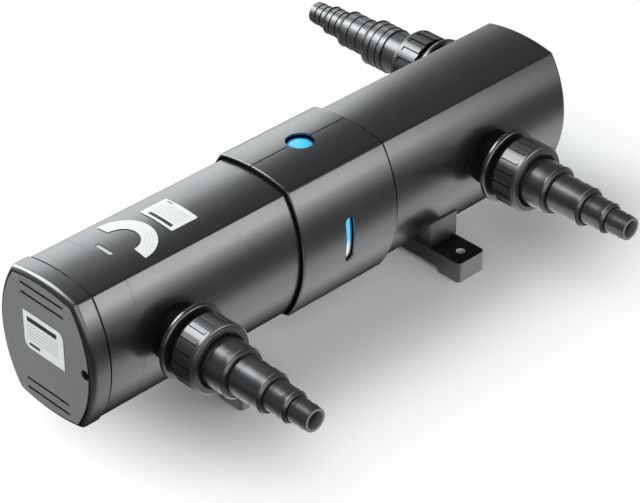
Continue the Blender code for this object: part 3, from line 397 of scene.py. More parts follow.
def loft(name, stations, ring):
    """Bridges body outlines, drawn a step apart and then pushed to their (x, offset) stations.

    A ring is closed from its last outline to its first; otherwise both ends are filled.
    """
    piece = begin(name)
    bpy.ops.mesh.delete(type="VERT")
    for index, (x, offset) in enumerate(stations):
        draw_section(index * SPREAD, offset)
    size = len(bmesh.from_edit_mesh(piece.data).verts) // len(stations)
    last = len(stations) - 1
    pairs = [(index, index + 1) for index in range(last)]
    if ring:
        pairs.append((last, 0))
    for pair in pairs:
        pick(piece, "VERT", lambda vert: vert.index // size in pair)
        bpy.ops.mesh.bridge_edge_loops()
    if not ring:
        for end in (0, last):
            pick(piece, "VERT", lambda vert: vert.index // size == end)
            bpy.ops.mesh.edge_face_add()
    for index, (x, offset) in enumerate(stations):
        pick(piece, "VERT", lambda vert: vert.index // size == index)
        bpy.ops.transform.translate(value=(x - index * SPREAD, 0, 0))
    close_up()
    return piece


def eased(corners, ring, steps=4):
    """A drawn line with its corners rounded: each corner is (along, radius, size of its round)."""
    line = []
    for index, (along, radius, ease) in enumerate(corners):
        here = Vector((along, radius))
        if not ease or (not ring and index in (0, len(corners) - 1)):
            line.append(here)
            continue
        back = (Vector(corners[index - 1][:2]) - here).normalized()
        onward = (Vector(corners[(index + 1) % len(corners)][:2]) - here).normalized()
        half = back.angle(onward) / 2
        middle = here + (back + onward).normalized() * ease / math.sin(half)
        start = here + back * ease / math.tan(half) - middle
        stop = here + onward * ease / math.tan(half) - middle
        sweep = start.angle_signed(stop)
        for step in range(steps + 1):
            line.append(middle + Matrix.Rotation(-sweep * step / steps, 2) @ start)
    return line


def turned(name, corners, centre, out, steps, ring=False):
    """Draws a line of eased corners and spins it round an axis; a ring's line is closed first."""
    centre = Vector(centre)
    out = Vector(out)
    across = Vector((1, 0, 0)) if abs(out.x) < 0.5 else Vector((0, 0, 1))
    points = [centre + out * along + across * radius for along, radius in eased(corners, ring)]
    if ring:
        points.append(points[0])
    piece = begin(name, points[0])
    for here, there in zip(points, points[1:]):
        bpy.ops.mesh.extrude_vertices_move(TRANSFORM_OT_translate={"value": there - here})
    bpy.ops.mesh.select_all(action="SELECT")
    bpy.ops.mesh.spin(steps=steps, angle=math.tau, center=centre, axis=out)
    close_up()
    return piece


def rod(name, start, stop, radius, centre, out, steps, ease=0):
    """A plain round bar along an axis, with its starting edge eased."""
    corners = [(start, 0, 0), (start, radius, ease), (stop, radius, 0), (stop, 0, 0)]
    return turned(name, corners, centre, out, steps)


def block(name, low, high):
    """A cube set between two corners, left in edit mode."""
    bpy.ops.object.select_all(action="DESELECT")
    bpy.ops.mesh.primitive_cube_add(size=1, location=(0, 0, 0))
    piece = named(name)
    bpy.ops.object.mode_set(mode="EDIT")
    bpy.ops.transform.resize(value=Vector(high) - Vector(low))
    bpy.ops.transform.translate(value=(Vector(low) + Vector(high)) / 2)
    return piece


def along_axis(axis):
    """A test for edges that run along one axis."""
    return lambda edge: abs((edge.verts[0].co - edge.verts[1].co).normalized()["xyz".index(axis)]) > 0.99


def rounded_block(name, low, high, test, radius, steps):
    """A block with a round on the edges that pass a test."""
    piece = block(name, low, high)
    pick(piece, "EDGE", test)
    bpy.ops.mesh.bevel(offset=radius, segments=steps, affect="EDGES")
    close_up()
    return piece


def slot_block(name, low, high, axis, steps=8):
    """A block with round ends on its narrow side, seen along an axis."""
    sides = [high[i] - low[i] for i in range(3) if "xyz"[i] != axis]
    return rounded_block(name, low, high, along_axis(axis), min(sides) * ROUND_END, steps)


def combine(piece, tool, operation):
    """Joins, cuts or crosses a piece with a tool shape, which is then thrown away."""
    bpy.context.view_layer.objects.active = piece
    step = piece.modifiers.new("Combine", "BOOLEAN")
    step.operation = operation
    step.solver = "EXACT"
    step.object = tool
    bpy.ops.object.modifier_apply(modifier=step.name)
    bpy.data.objects.remove(tool)


def cut(piece, tool):
    """Takes a tool shape out of a piece."""
    combine(piece, tool, "DIFFERENCE")


def fuse(piece, tool):
    """Adds a tool shape to a piece."""
    combine(piece, tool, "UNION")


def soften(piece, width, segments=2):
    """Breaks the sharp edges of a piece with a narrow round."""
    bpy.context.view_layer.objects.active = piece
    step = piece.modifiers.new("Soften", "BEVEL")
    step.width = width
    step.segments = segments
    step.limit_method = "ANGLE"
    step.angle_limit = SOFT_LIMIT
    bpy.ops.object.modifier_apply(modifier=step.name)


def complete(piece, material, body, slot, *nodes):
    """Welds and shades a piece, gives it its finish, and puts it in the place of its CAD nodes."""
    open_up(piece)
    bpy.ops.mesh.remove_doubles(threshold=WELD)
    bpy.ops.object.mode_set(mode="OBJECT")
    bpy.ops.object.shade_smooth_by_angle(angle=SMOOTH_LIMIT)
    weigh = piece.modifiers.new("Weigh", "WEIGHTED_NORMAL")
    weigh.keep_sharp = True
    bpy.ops.object.modifier_apply(modifier=weigh.name)
    piece.data.materials.clear()
    piece.data.materials.append(material)
    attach(piece, body)
    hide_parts(*nodes)


def repaint(piece, material, test):
    """Gives a second finish to the faces of a piece that pass a test."""
    piece.data.materials.append(material)
    for face in piece.data.polygons:
        if test(face):
            face.material_index = len(piece.data.materials) - 1


def from_axis(face, x):
    """How far the middle of a face is from a hose's axis."""
    return math.hypot(face.center.x - x, face.center.z - AXIS)


def plastic(name, fixed, dark, light, roughness, grain_scale, grain_depth):
    """A moulded plastic: cloudy tone, fine grain and slight handling marks."""
    def recipe(place):
        cloud = place.noise(14.0, 4.0)
        grain = place.noise(grain_scale, 2.0)
        rubbed = place.noise(55.0, 6.0)
        gloss = roughness + (cloud - 0.5) * 0.10 + (rubbed - 0.5) * 0.08
        return {"Base Color": cloud.blend(dark, light), "Roughness": gloss,
                "Normal": grain.relief(0.22, grain_depth)}
    return finish(name, fixed, recipe)


SHELL_DARK = (0.0065, 0.007, 0.008, 1)
SHELL_LIGHT = (0.011, 0.0115, 0.0125, 1)
GLOSSY = {"Specular IOR Level": 0.8, "Coat Weight": 0.9, "Coat Roughness": 0.24, "Coat IOR": 1.7}
SHELL = plastic("charcoal_shell", GLOSSY, SHELL_DARK, SHELL_LIGHT, 0.27, 1400.0, 0.00004)
# Painted shade: a matt black put where shade falls, on the boss necks and threads and on the nuts' skirts,
# threads and grip slits.
PAINTED_SHADE_BLACK = plastic("painted_shade_black", {"Specular IOR Level": 0.15},
                 (0.003, 0.003, 0.0032, 1), (0.005, 0.005, 0.0053, 1), 0.6, 1200.0, 0.00005)
RING_BASE = 0.0655
RING_FACE = 0.070
SPIGOT_FACE = 0.083
BOSS_ROOT = 0.0473
BOSS_RADIUS = 0.0227
RING_RADIUS = 0.0308
SPIGOT_RADIUS = 0.025
THREAD_DEPTH = 0.0008
THREAD_PITCH = 0.0023
BOSS_BORE = 0.014
BORE_SPAN = (0.03, 0.09)
NECK_START = HALF_WIDTH + 0.0006
TURN_STEPS = 96
FRONT = Vector((0, -1, 0))
REAR = Vector((0, 1, 0))


def add_boss(chamber, x, out):
    """Joins a hose boss to a chamber: neck, flange ring and threaded spigot, bored right through."""
    corners = [(BOSS_ROOT, 0, 0), (BOSS_ROOT, BOSS_RADIUS, 0), (RING_BASE, BOSS_RADIUS, 0.0008),
               (RING_BASE, RING_RADIUS, 0.0012), (RING_FACE, RING_RADIUS, 0.0020),
               (RING_FACE, SPIGOT_RADIUS - THREAD_DEPTH, 0.0004)]
    turn = RING_FACE + THREAD_PITCH
    low = SPIGOT_RADIUS - THREAD_DEPTH
    while turn + THREAD_PITCH < SPIGOT_FACE:
        for share, radius in ((0, low), (0.3, SPIGOT_RADIUS), (0.5, SPIGOT_RADIUS), (0.8, low)):
            corners.append((turn + share * THREAD_PITCH, radius, 0))
        turn += THREAD_PITCH
    corners += [(SPIGOT_FACE, low, 0.0004), (SPIGOT_FACE, 0, 0)]
    place = (x, 0, AXIS)
    fuse(chamber, turned("boss", corners, place, out, TURN_STEPS))
    cut(chamber, rod("bore", *BORE_SPAN, BOSS_BORE, place, out, TURN_STEPS))


def shade_necks(chamber, *hoses):
    """Paints shade on the necks and threads of a chamber's bosses, as a matt black finish."""
    repaint(chamber, PAINTED_SHADE_BLACK, lambda face: abs(face.center.y) > NECK_START
            and any(from_axis(face, x) < SPIGOT_RADIUS for x in hoses))


SLEEVE_RADIUS = 0.023
SEAT_INNER = 0.0298
SEAT_OUTER = 0.0323
SEAT_FACE = BULKHEAD - 0.0067
SEAT_ROOT = BULKHEAD + 0.001
RING_SEAT = 0.0261
RING_FLOOR = BULKHEAD + 0.0031
OPENING_SPAN = (BULKHEAD - 0.001, BULKHEAD + 0.01)


def latch_block(name, margin, bottom, top):
    """An upright block with round ends at the latch, larger than its button by a margin."""
    half_width = LATCH_HALF_WIDTH + margin
    half_length = LATCH_HALF_LENGTH + margin
    return slot_block(name, (LATCH_X - half_width, -half_length, bottom),
                      (LATCH_X + half_width, half_length, top), "z")


ALONG = Vector((1, 0, 0))
ON_AXIS = (0, 0, AXIS)
near_end = JOINT - JOINT_GAP
near_rim = near_end - RIM_LENGTH
near_half = loft("chamber_near", [
    (HEAD_SEAM, 0), (near_rim, 0), (near_rim, RIM_PROUD), (near_end, RIM_PROUD),
    (near_end, -WALL), (HEAD_SEAM, -WALL)], ring=True)
soften(near_half, 0.00012)
bulkhead_edge = 0.0005 - WALL
fuse(near_half, loft("bulkhead", [
    (BULKHEAD, bulkhead_edge), (BULKHEAD + BULKHEAD_WALL, bulkhead_edge)], ring=False))
seat = [(SEAT_FACE, SEAT_INNER, 0.0004), (SEAT_FACE, SEAT_OUTER, 0.0006),
        (SEAT_ROOT, SEAT_OUTER, 0), (SEAT_ROOT, SEAT_INNER, 0)]
fuse(near_half, turned("seat", seat, ON_AXIS, ALONG, TURN_STEPS, ring=True))
opening = [(OPENING_SPAN[0], 0, 0), (OPENING_SPAN[0], RING_SEAT, 0), (RING_FLOOR, RING_SEAT, 0),
           (RING_FLOOR, SLEEVE_RADIUS + FIT, 0), (OPENING_SPAN[1], SLEEVE_RADIUS + FIT, 0),
           (OPENING_SPAN[1], 0, 0)]
cut(near_half, turned("sleeve_opening", opening, ON_AXIS, ALONG, TURN_STEPS))
add_boss(near_half, LEFT_HOSE, FRONT)
cut(near_half, latch_block("latch_slot", FIT, BODY_TOP - LATCH_REACH, BODY_TOP + LATCH_REACH))
complete(near_half, SHELL, "body", "shell_plastic", "housing_left")
shade_necks(near_half, LEFT_HOSE)

# Far chamber half
# The longer half of the same moulded tube, closed at its far end, with one hose boss in front and
# one behind. Under the collar it has a round hole for the indicator and a slot for the window.
FAR_END = 0.2508
END_EDGE = 0.003
SEAM_START = 0.0545
SEAM_STOP = 0.0557
SEAM_DEPTH = 0.0015
RIGHT_HOSE = 0.1631
REAR_HOSE = 0.2266
LENS_X = 0.0036
COLLAR_SPLIT = 0.003
LENS_RADIUS = 0.0099
WINDOW_X = 0.0014
WINDOW_HALF_WIDTH = 0.0042
WINDOW_HALF_LENGTH = 0.0197
WINDOW_Z = AXIS - 0.0008
WINDOW_SPAN = (-0.08, -0.02)
LENS_PLACE = (LENS_X, COLLAR_SPLIT, BODY_TOP)
LENS_REACH = 0.012
UP = Vector((0, 0, 1))


def edge_stations(face, inward, offset, radius, steps=7):
    """Stations that round the outer edge of an end face, from the face to the full section."""
    turns = [math.pi / 2 * step / steps for step in range(steps + 1)]
    return [(face + inward * radius * (1 - math.cos(turn)), offset - radius * (1 - math.sin(turn)))
            for turn in turns]


def window_block(name, clearance):
    """An upright slot through the front side, at the light window."""
    half_width = WINDOW_HALF_WIDTH + clearance
    half_length = WINDOW_HALF_LENGTH + clearance
    return slot_block(name, (WINDOW_X - half_width, WINDOW_SPAN[0], WINDOW_Z - half_length),
                      (WINDOW_X + half_width, WINDOW_SPAN[1], WINDOW_Z + half_length), "y")


def lens_drill(name, radius):
    """An upright round cutter at the indicator."""
    return rod(name, -LENS_REACH, LENS_REACH, radius, LENS_PLACE, UP, TURN_STEPS)


far_start = JOINT + JOINT_GAP
far_rim = far_start + RIM_LENGTH
far_half = loft("chamber_far", edge_stations(FAR_END, -1, 0, END_EDGE) + [
    (SEAM_STOP, 0), (SEAM_STOP, -SEAM_DEPTH), (SEAM_START, -SEAM_DEPTH), (SEAM_START, 0),
    (far_rim, 0), (far_rim, RIM_PROUD), (far_start, RIM_PROUD), (far_start, -WALL),
    (FAR_END - WALL, -WALL)], ring=False)
soften(far_half, 0.0002)
add_boss(far_half, RIGHT_HOSE, FRONT)
add_boss(far_half, REAR_HOSE, REAR)
cut(far_half, lens_drill("lens_hole", LENS_RADIUS + FIT))
cut(far_half, window_block("window_hole", FIT))
complete(far_half, SHELL, "body", "shell_plastic", "housing_right")
shade_necks(far_half, RIGHT_HOSE, REAR_HOSE)

# Collar
# Two moulded half shells snapped over the joint of the chamber halves and split along the top and
# bottom. They stand 4 mm proud, open at the near edge, with holes for the indicator and window.
COLLAR_START = -0.0476
COLLAR_STOP = 0.0509
COLLAR_PROUD = 0.004
COLLAR_WALL = 0.0018
COLLAR_LIP = 0.003
COLLAR_BEAD = 0.0018
COLLAR_INNER = COLLAR_PROUD - COLLAR_WALL
COLLAR_LENS = LENS_RADIUS + 0.0015

collar_stations = edge_stations(COLLAR_START, 1, COLLAR_PROUD, COLLAR_BEAD, 5) + [
    (COLLAR_STOP, COLLAR_PROUD), (COLLAR_STOP, FIT), (COLLAR_STOP - COLLAR_LIP, FIT),
    (COLLAR_STOP - COLLAR_LIP, COLLAR_INNER), (COLLAR_START + 0.0004, COLLAR_INNER)]
for name, side in (("collar_front", -1), ("collar_rear", 1)):
    shell = loft(name + "_shell", collar_stations, ring=True)
    soften(shell, 0.0004, 3)
    cut(shell, lens_drill("collar_lens_hole", COLLAR_LENS))
    if side < 0:
        cut(shell, window_block("collar_window", FIT))
    open_up(shell)
    bpy.ops.mesh.bisect(plane_co=(0, COLLAR_SPLIT + side * 2 * FIT, 0), plane_no=(0, -side, 0),
                        use_fill=True, clear_outer=True)
    close_up()
    complete(shell, SHELL, "body", "shell_plastic", name)

# Indicator and window
# A round blue light pipe pressed up under the collar, and an upright light strip in its front that
# glows blue at the top and white below. Both are clear plastic, lit by the lamp inside.
LENS_TOP = 0.0008
LENS_RIM = -0.0052
LENS_BASE = -0.0067
LENS_FOOT = 0.0123
STRIP_HALF = 0.008
STRIP_OUTER = -0.001
STRIP_INNER = -0.004


def band(name, start, stop, outer, inner):
    """A band that follows the body's outline, between two stations and two offsets."""
    return loft(name, [(start, outer), (stop, outer), (stop, inner), (start, inner)], ring=True)


def lens_finish(place):
    """Blue light pipe, brightest at its middle."""
    far = place.moved((-LENS_X, -COLLAR_SPLIT, 0)).reach((100, 100, 0))
    cloud = place.noise(240.0, 3.0)
    core = (1 - far) * 2.5 + (cloud - 0.5) * 0.3
    return {"Base Color": core.blend((0.02, 0.22, 0.60, 1), (0.05, 0.44, 0.85, 1)),
            "Emission Color": core.blend((0.02, 0.24, 0.62, 1), (0.06, 0.50, 0.95, 1)),
            "Roughness": 0.16 + cloud * 0.1}


LENS_BLUE = finish("indicator_blue", {"Emission Strength": 0.55, "Coat Weight": 0.5}, lens_finish)
lens = turned("indicator", [
    (LENS_TOP, 0, 0), (LENS_TOP - 0.0002, 0.006, 0.002), (LENS_TOP - 0.0008, LENS_RADIUS, 0.0008),
    (LENS_RIM, LENS_RADIUS, 0), (LENS_RIM, LENS_FOOT, 0.0003), (LENS_BASE, LENS_FOOT, 0.0003),
    (LENS_BASE, 0, 0)], LENS_PLACE, UP, TURN_STEPS)
complete(lens, LENS_BLUE, "body", "lens_blue", "indicator_lens")


def window_finish(place):
    """Light strip: blue above, white below, with a soft change between."""
    cloud = place.noise(180.0, 3.0)
    height = place.axis("Z") + (cloud - 0.5) * 0.003
    share = height.between(WINDOW_Z - 0.012, WINDOW_Z - 0.001)
    return {"Base Color": share.blend((0.85, 0.92, 0.96, 1), (0.13, 0.54, 0.92, 1)),
            "Emission Color": share.blend((0.90, 0.96, 1.0, 1), (0.13, 0.58, 0.97, 1)),
            "Roughness": 0.14 + cloud * 0.12}


WINDOW_GLOW = finish("window_glow", {"Emission Strength": 0.5, "Coat Weight": 0.5}, window_finish)
strip = band("light_window", WINDOW_X - STRIP_HALF, WINDOW_X + STRIP_HALF, STRIP_OUTER, STRIP_INNER)
combine(strip, window_block("window_trim", 0), "INTERSECT")
soften(strip, 0.0004)
complete(strip, WINDOW_GLOW, "body", "window_clear", "slot_window")

# Stickers on top
# A blank ruled label and a half-ring scale, printed on white film that is stuck to the crowned top
# of the near half. Only plain rules and bars are printed on them.
STICKER_LOW = 0.0003
STICKER_HIGH = 0.0006
TOP_LABEL_LOW = (-0.1423, -0.016)
TOP_LABEL_HIGH = (-0.117, 0.019)
SCALE_X = -0.1766
SCALE_OUTER = 0.0265
SCALE_INNER = 0.0145
TRIM_HEIGHT = 0.1
PAPER = (0.84, 0.85, 0.85, 1)
WORN_PAPER = (0.88, 0.885, 0.88, 1)
INK = (0.035, 0.036, 0.04, 1)
PALE_INK = (0.40, 0.41, 0.42, 1)


def bar(value, middle, half):
    """One where a signal is within a bar, nought elsewhere."""
    return abs(value - middle) < half


def printed(place, rules, strength, dark=None):
    """White film, printed with pale rules and dark bars."""
    cloud = place.noise(60.0, 4.0)
    colour = (rules * strength).blend(cloud.blend(PAPER, WORN_PAPER), PALE_INK)
    if dark is not None:
        colour = dark.blend(colour, INK)
    return {"Base Color": colour, "Roughness": 0.36 + cloud * 0.12}


def top_label_finish(place):
    """A header bar, fine rules across the body and a small bar at the foot."""
    x = place.axis("X")
    y = place.axis("Y")
    header = bar(x, -0.1385, 0.0016) * bar(y, 0.0005, 0.0125)
    rules = sum(bar(x, -0.1338 + row * 0.0024, 0.0003) for row in range(6)) * bar(y, 0.0015, 0.0135)
    stamp = bar(x, -0.1192, 0.0006) * bar(y, 0.012, 0.003)
    return printed(place, rules, 0.8, header + stamp)


def scale_finish(place):
    """Thin arcs, and plain ticks round the outer edge."""
    centred = place.moved((-SCALE_X, 0, 0))
    radius = centred.reach((1, 1, 0))
    turn = centred.maths("ARCTAN2", centred.axis("Y"), centred.axis("X"))
    arcs = sum(bar(radius, 0.0178 + row * 0.0026, 0.0002) for row in range(3)) * bar(turn, -0.1, 1.15)
    ticks = (centred.maths("PINGPONG", turn, 0.09) < 0.012) * bar(radius, 0.0252, 0.0007)
    return printed(place, arcs + ticks, 0.55)


def sticker(name, start, stop, trim, recipe):
    """A thin band of film round the body, trimmed by an upright shape."""
    film = band(name + "_print", start, stop, STICKER_HIGH, STICKER_LOW)
    combine(film, trim, "INTERSECT")
    material = finish(name + "_film", {"Specular IOR Level": 0.4}, recipe)
    complete(film, material, "body", "label_film", name)


label_trim = rounded_block("label_trim", (*TOP_LABEL_LOW, AXIS), (*TOP_LABEL_HIGH, AXIS + TRIM_HEIGHT),
                           along_axis("z"), 0.0012, 4)
sticker("top_label", TOP_LABEL_LOW[0] - WALL, TOP_LABEL_HIGH[0] + WALL, label_trim, top_label_finish)
half_ring = turned("scale_trim", [
    (0, SCALE_INNER, 0), (TRIM_HEIGHT, SCALE_INNER, 0), (TRIM_HEIGHT, SCALE_OUTER, 0),
    (0, SCALE_OUTER, 0)], (SCALE_X, 0, AXIS), UP, 144, ring=True)
open_up(half_ring)
bpy.ops.mesh.bisect(plane_co=(SCALE_X, 0, 0), plane_no=(-1, 0, 0), use_fill=True, clear_outer=True)
close_up()
sticker("scale_ring", SCALE_X - WALL, SCALE_X + SCALE_OUTER + WALL, half_ring, scale_finish)

# Latch
# A short grey push button in a round-ended slot on top, which lets the lamp head go. It is moulded
# with a lip underneath that keeps it in the slot.
LATCH_SPAN = (0.1302, 0.1377)
LATCH_LIP = 0.001
LATCH_LIP_SPAN = (0.1325, 0.134)
latch = latch_block("latch_button", 0, *LATCH_SPAN)
fuse(latch, latch_block("latch_lip", LATCH_LIP, *LATCH_LIP_SPAN))
soften(latch, 0.0003, 3)
BUTTON = plastic("latch_grey", {"Coat Weight": 0.3},
                 (0.60, 0.61, 0.62, 1), (0.68, 0.69, 0.70, 1), 0.38, 1600.0, 0.00003)
complete(latch, BUTTON, "latch", "latch_plastic", "head_latch")

# Quartz sleeve
# A closed tube of clear fused quartz round the lamp, held by a rubber ring and a black clamp nut in
# the bulkhead, with its domed end in a cradle at the far wall.
SLEEVE_TIP = 0.2138
SLEEVE_WALL = 0.0015
SLEEVE_BORE = SLEEVE_RADIUS - SLEEVE_WALL
DOME_STEPS = 8
SLEEVE_OPEN = -0.197


def quartz_finish(place):
    """Clear glass with faint drawing lines along it."""
    lines = place.stretched((1.0, 0.02, 0.02)).noise(3.0, 4.0)
    return {"Base Color": lines.blend((0.86, 0.91, 0.93, 1), (0.93, 0.96, 0.97, 1)),
            "Roughness": 0.03 + lines * 0.05}


QUARTZ = finish("quartz", {"Transmission Weight": 0.9, "IOR": 1.46}, quartz_finish)
middle = SLEEVE_TIP - SLEEVE_RADIUS
turns = [math.pi / 2 * step / DOME_STEPS for step in range(DOME_STEPS + 1)]
dome = [(middle + SLEEVE_RADIUS * math.cos(turn), SLEEVE_RADIUS * math.sin(turn), 0) for turn in turns]
hollow = [(middle + SLEEVE_BORE * math.cos(turn), SLEEVE_BORE * math.sin(turn), 0) for turn in turns]
mouth = [(SLEEVE_OPEN, SLEEVE_RADIUS, 0.0005), (SLEEVE_OPEN, SLEEVE_BORE, 0.0005)]
sleeve = turned("sleeve_glass", dome + mouth + hollow[::-1], ON_AXIS, ALONG, 64)
complete(sleeve, QUARTZ, "body", "quartz_glass", "quartz_sleeve")

FITTING_DARK = (0.008, 0.0083, 0.009, 1)
FITTING_LIGHT = (0.014, 0.0145, 0.0155, 1)
CLAMP = plastic("clamp_black", {"Coat Weight": 0.3, "Coat Roughness": 0.3},
                FITTING_DARK, FITTING_LIGHT, 0.4, 1400.0, 0.00004)
CLAMP_BACK = -0.196
CLAMP_FACE = -0.1896
CLAMP_INNER = 0.0233
CLAMP_OUTER = 0.0295
PIN_HOLE_COUNT = 8
PIN_HOLE_CIRCLE = 0.0264
PIN_HOLE_RADIUS = 0.0016
PIN_HOLE_SPAN = (CLAMP_BACK - 0.001, CLAMP_BACK + 0.0025)
clamp = turned("clamp_nut", [
    (CLAMP_BACK, CLAMP_INNER, 0.0006), (CLAMP_BACK, CLAMP_OUTER, 0.0008),
    (CLAMP_FACE, CLAMP_OUTER, 0.0003), (CLAMP_FACE, CLAMP_INNER, 0.0003)],
    ON_AXIS, ALONG, TURN_STEPS, ring=True)
for notch in range(PIN_HOLE_COUNT):
    turn = math.tau * notch / PIN_HOLE_COUNT
    place = (0, PIN_HOLE_CIRCLE * math.cos(turn), AXIS + PIN_HOLE_CIRCLE * math.sin(turn))
    cut(clamp, rod("pin_hole", *PIN_HOLE_SPAN, PIN_HOLE_RADIUS, place, ALONG, 16))
complete(clamp, CLAMP, "body", "fitting_plastic", "sleeve_nut")

# Lamp head
# The drawn-out end of the body: a short moulded shell with a neck under the cap and a spigot with
# a rubber gasket that plugs into the near chamber half.
CAP_FACE = -0.2508
CAP_SEAM = -0.2337
CAP_PROUD = 0.0012
CAP_WALL = 0.0025
NOTCH_LOW = (LATCH_X - 0.0032, -0.0099, AXIS)
NOTCH_HIGH = (BULKHEAD, 0.0099, BODY_TOP)


def brick(name, low, high):
    """A plain block, back in object mode."""
    piece = block(name, low, high)
    close_up()
    return piece


head_end = HEAD_SEAM - 0.0001
spigot = -WALL - FIT
spigot_inner = spigot - 0.0027
spigot_root = head_end - 0.003
spigot_end = BULKHEAD - 0.0007
groove = (head_end + 0.0012, head_end + 0.0038)
groove_floor = spigot - 0.0016
neck = CAP_PROUD - CAP_WALL - FIT
neck_inner = neck - 0.0024
neck_start = CAP_SEAM - 0.0103
shoulder = CAP_SEAM + 0.0021
inner_shoulder = shoulder + 0.0005
head = loft("head_tube", [
    (neck_start, neck), (shoulder, neck), (shoulder, 0), (head_end, 0), (head_end, spigot),
    (groove[0], spigot), (groove[0], groove_floor), (groove[1], groove_floor), (groove[1], spigot),
    (spigot_end, spigot), (spigot_end, spigot_inner), (spigot_root, spigot_inner),
    (spigot_root, -WALL), (inner_shoulder, -WALL), (inner_shoulder, neck_inner),
    (neck_start, neck_inner)], ring=True)
soften(head, 0.00012)
cut(head, brick("head_notch", NOTCH_LOW, NOTCH_HIGH))
complete(head, SHELL, "head", "shell_plastic", "head_shell")

RUBBER = plastic("seal_rubber", {"Specular IOR Level": 0.3},
                 (0.010, 0.010, 0.010, 1), (0.018, 0.018, 0.018, 1), 0.72, 900.0, 0.00008)
gasket = band("head_seal", groove[0] + FIT, groove[1] - FIT, spigot, spigot - 0.0013)
soften(gasket, 0.0004, 3)
complete(gasket, RUBBER, "head", "seal_rubber", "head_gasket")

# End cap
# A shallow cup snapped over the head's neck, its face grained grey and its rounded rim left smooth
# and dark. It has four vent slots, a cable inlet with a rubber bush, and a blank label.
CAP_RIM = 0.0055
CAP_FACE_WALL = 0.003
CAP_INNER = CAP_PROUD - CAP_WALL
GRAINED = CAP_FACE + 0.00012
INLET_PLACE = (CAP_FACE, -0.0443, AXIS)
INLET_RADIUS = 0.0042
INLET_SPAN = (-0.003, 0.006)
VENT_HEIGHTS = (0.0466, 0.0382, -0.0382, -0.0466)
VENT_LOW = (-0.004, -0.0238, -0.001)
VENT_HIGH = (0.008, 0.0238, 0.001)


def cap_finish(place):
    """Dark smooth cup with a grained grey face."""
    face = place.axis("X") < GRAINED
    cloud = place.noise(16.0, 4.0)
    grey = cloud.blend((0.205, 0.210, 0.207, 1), (0.228, 0.233, 0.230, 1))
    dark = cloud.blend(SHELL_DARK, SHELL_LIGHT)
    return {"Base Color": face.blend(dark, grey), "Coat Weight": (1 - face) * 0.9,
            "Roughness": 0.30 + face * 0.28 + (cloud - 0.5) * 0.1,
            "Normal": place.noise(1300.0, 2.0).relief(0.4, 0.00006)}


CAP = finish("cap_grey", {"Specular IOR Level": 0.8, "Coat Roughness": 0.24, "Coat IOR": 1.7}, cap_finish)
cap = loft("cap_cup", edge_stations(CAP_FACE, 1, CAP_PROUD, CAP_RIM, 9) + [
    (CAP_SEAM, CAP_PROUD), (CAP_SEAM, CAP_INNER), (CAP_FACE + CAP_FACE_WALL, CAP_INNER)], ring=False)
soften(cap, 0.0004)
for height in VENT_HEIGHTS:
    middle = Vector((CAP_FACE, 0, AXIS + height))
    cut(cap, slot_block("vent", middle + Vector(VENT_LOW), middle + Vector(VENT_HIGH), "x", 5))
cut(cap, rod("inlet", *INLET_SPAN, INLET_RADIUS, INLET_PLACE, ALONG, 40))
complete(cap, CAP, "head", "cap_plastic", "end_cap")

bush = turned("cable_bush", [
    (0.0053, 0.005, 0.0003), (0.0033, 0.005, 0.0003), (0.0033, 0.0039, 0), (0.0004, 0.0039, 0.0004),
    (0.0004, 0.0032, 0.0003), (0.0053, 0.0032, 0.0003)], INLET_PLACE, ALONG, 40, ring=True)
complete(bush, RUBBER, "head", "seal_rubber", "cable_gland")


def end_label_finish(place):
    """A header bar, fine rules and a short bar at the foot."""
    y = place.axis("Y")
    z = place.axis("Z")
    header = bar(z, AXIS + 0.0177, 0.0021) * bar(y, 0.0015, 0.0165)
    rules = sum(bar(z, AXIS + 0.0122 - row * 0.0028, 0.0004) for row in range(5)) * bar(y, 0.001, 0.0175)
    foot = bar(z, AXIS - 0.0042, 0.0012) * bar(y, 0.011, 0.006)
    return printed(place, rules, 0.8, header + foot)


LABEL_Z = AXIS + 0.0077
LABEL_HALF_WIDTH = 0.02215
LABEL_HALF_HEIGHT = 0.01605
end_label = rounded_block(
    "cap_label", (CAP_FACE - 0.0006, -LABEL_HALF_WIDTH, LABEL_Z - LABEL_HALF_HEIGHT),
    (CAP_FACE - 0.0003, LABEL_HALF_WIDTH, LABEL_Z + LABEL_HALF_HEIGHT),
    lambda edge: along_axis("x")(edge) and (edge.verts[0].co.y < 0) == (edge.verts[0].co.z > LABEL_Z),
    0.006, 8)
complete(end_label, finish("end_label_film", {"Specular IOR Level": 0.4}, end_label_finish),
         "head", "label_film", "end_label")

# Lamp
# A twin-tube ultraviolet lamp with an ivory base that plugs into a holder in the head. It slides in
# the quartz sleeve and shows when the head is drawn out.
TUBE_RADIUS = 0.00875
TUBE_PITCH = 0.0186
TUBE_TIP = 0.2053
TUBE_ROOT = -0.1764
BRIDGE_RADIUS = 0.004
BRIDGE_X = TUBE_TIP - 0.014
BASE_LOW = (-0.2007, -0.0185, AXIS - 0.0095)
BASE_HIGH = (-0.1767, 0.0185, AXIS + 0.0095)
RIB_START = -0.1955
RIB_PITCH = 0.006
RIB_HALF = 0.0008
RIB_SPAN = (0.0178, 0.03)
RIB_HEIGHT = 0.02
PIN_SPAN = (-0.2067, -0.2002)
PIN_RADIUS = 0.0012
PIN_PITCH = 0.008
IVORY = plastic("lamp_ivory", {"Coat Weight": 0.2},
                (0.70, 0.67, 0.58, 1), (0.78, 0.75, 0.66, 1), 0.42, 1500.0, 0.00004)


def tube_finish(place):
    """Lamp glass, greyed by the cathode near its base and clear white beyond."""
    x = place.axis("X")
    cloud = place.noise(90.0, 4.0)
    clear = (x + (cloud - 0.5) * 0.006).between(TUBE_ROOT, TUBE_ROOT + 0.03)
    return {"Base Color": clear.blend((0.50, 0.51, 0.53, 1), (0.86, 0.88, 0.90, 1)),
            "Roughness": 0.06 + cloud * 0.06}


